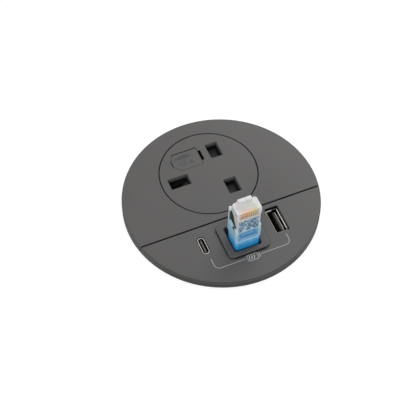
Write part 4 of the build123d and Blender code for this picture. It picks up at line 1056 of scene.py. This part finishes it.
AZIMUTH, ELEVATION = math.radians(-23.6), math.radians(55.22)
HOLE_R, DESK_R, DESK_REACH, DESK_T = 40.0 * MM, 54.0 * MM, 34.0 * MM, 1.5 * MM
UNDER_FLANGE = 0.02 * MM
FLOOR_Z = -0.72
toward = Vector((math.sin(AZIMUTH), -math.cos(AZIMUTH), 0))
desk = bmesh.new()
bmesh.ops.create_circle(desk, radius=HOLE_R, segments=96)
for v in bmesh.ops.create_circle(desk, radius=DESK_R, segments=96)["verts"]:
    along = v.co.dot(toward)
    if along > 0:
        v.co += toward * (along / DESK_R) ** 0.5 * DESK_REACH
bmesh.ops.triangle_fill(desk, edges=desk.edges[:], use_beauty=True)
bmesh.ops.solidify(desk, geom=desk.faces[:], thickness=DESK_T)
desk_face = max(v.co.z for v in desk.verts)
bmesh.ops.translate(desk, vec=(0, 0, -UNDER_FLANGE - desk_face), verts=desk.verts)
desk_top = to_object("desk_top", desk, white_stage("white_desk"))

room = bmesh.new()
bmesh.ops.create_grid(room, x_segments=1, y_segments=1, size=4.0)
bmesh.ops.translate(room, vec=(0, 0, FLOOR_Z), verts=room.verts)
floor = to_object("floor", room, white_stage("white_floor"))
print("desk reaches", round((DESK_R + DESK_REACH) / MM), "mm towards the camera")

# %% [markdown]
# ## Light
# A studio for small goods: a white room that lights everything a little, a large soft lamp almost
# straight above, a small one close to the back right edge, which the right of the disc shows as a paler
# tone, and one at the front left. Together they light a level face about once, so that a tone shows as it
# is written.

# %% World and lamps
world = bpy.data.worlds.new("white_room")
scene.world = world
world.use_nodes = True
sky = world.node_tree
background = sky.nodes["Background"]
set_values(background, {"Color": (1, 1, 1, 1), "Strength": 0.6})
white = sky.nodes.new("ShaderNodeBackground")
rays = sky.nodes.new("ShaderNodeLightPath")
choose = sky.nodes.new("ShaderNodeMixShader")
sky.links.new(rays.outputs["Is Camera Ray"], choose.inputs["Fac"])
sky.links.new(background.outputs["Background"], choose.inputs[1])
sky.links.new(white.outputs["Background"], choose.inputs[2])
sky.links.new(choose.outputs["Shader"], sky.nodes["World Output"].inputs["Surface"])


def soft_lamp(name, place, size, watts):
    """A square lamp that looks at the object."""
    data = bpy.data.lights.new(name, "AREA")
    data.size = size
    data.energy = watts
    lamp = bpy.data.objects.new(name, data)
    lamp.location = place
    lamp.rotation_euler = (-Vector(place)).to_track_quat("-Z", "Y").to_euler()
    scene.collection.objects.link(lamp)
    return lamp


lamps = [
    soft_lamp("key_lamp", (0.1, 0.08, 0.9), 0.45, 0.95),
    soft_lamp("side_lamp", (0.2, 0.17, 0.17), 0.22, 0.36),
    soft_lamp("fill_lamp", (-0.5, -0.55, 0.45), 0.4, 1.8),
]
print("lamps:", [(lamp.name, round(lamp.data.energy, 2)) for lamp in lamps])

# %% [markdown]
# ## Camera
# The photograph was taken from the front left, 55 degrees above the desk, with a long lens. The numbers
# come from the ellipse of the disc, the circle of the insert, the split line and the three pin holes.

# %% Camera at the photograph's angle
LOOK_AT = Vector((-9.847 * MM, 2.135 * MM, TOP))
DISTANCE = 556.9 * MM
ROLL = math.radians(0.85)
SENSOR = 36.0
FOCAL_PIXELS, PICTURE_PIXELS = 1200, 400
back = Vector(
    (math.sin(AZIMUTH) * math.cos(ELEVATION), -math.cos(AZIMUTH) * math.cos(ELEVATION), math.sin(ELEVATION))
)
right = Vector((math.cos(AZIMUTH), math.sin(AZIMUTH), 0))
up = back.cross(right)
rolled_right = right * math.cos(ROLL) + up * math.sin(ROLL)
rolled_up = -right * math.sin(ROLL) + up * math.cos(ROLL)
lens = bpy.data.cameras.new("photo_camera")
lens.sensor_width = SENSOR
lens.lens = SENSOR * FOCAL_PIXELS / PICTURE_PIXELS
lens.clip_start, lens.clip_end = 0.01, 20.0
camera = bpy.data.objects.new("photo_camera", lens)
turned = Matrix((rolled_right, rolled_up, back)).transposed().to_4x4()
camera.matrix_world = Matrix.Translation(LOOK_AT + back * DISTANCE) @ turned
scene.collection.objects.link(camera)
scene.camera = camera
scene.view_settings.view_transform = "Standard"
print("lens:", lens.lens, "mm, distance:", round(DISTANCE / MM, 1), "mm")
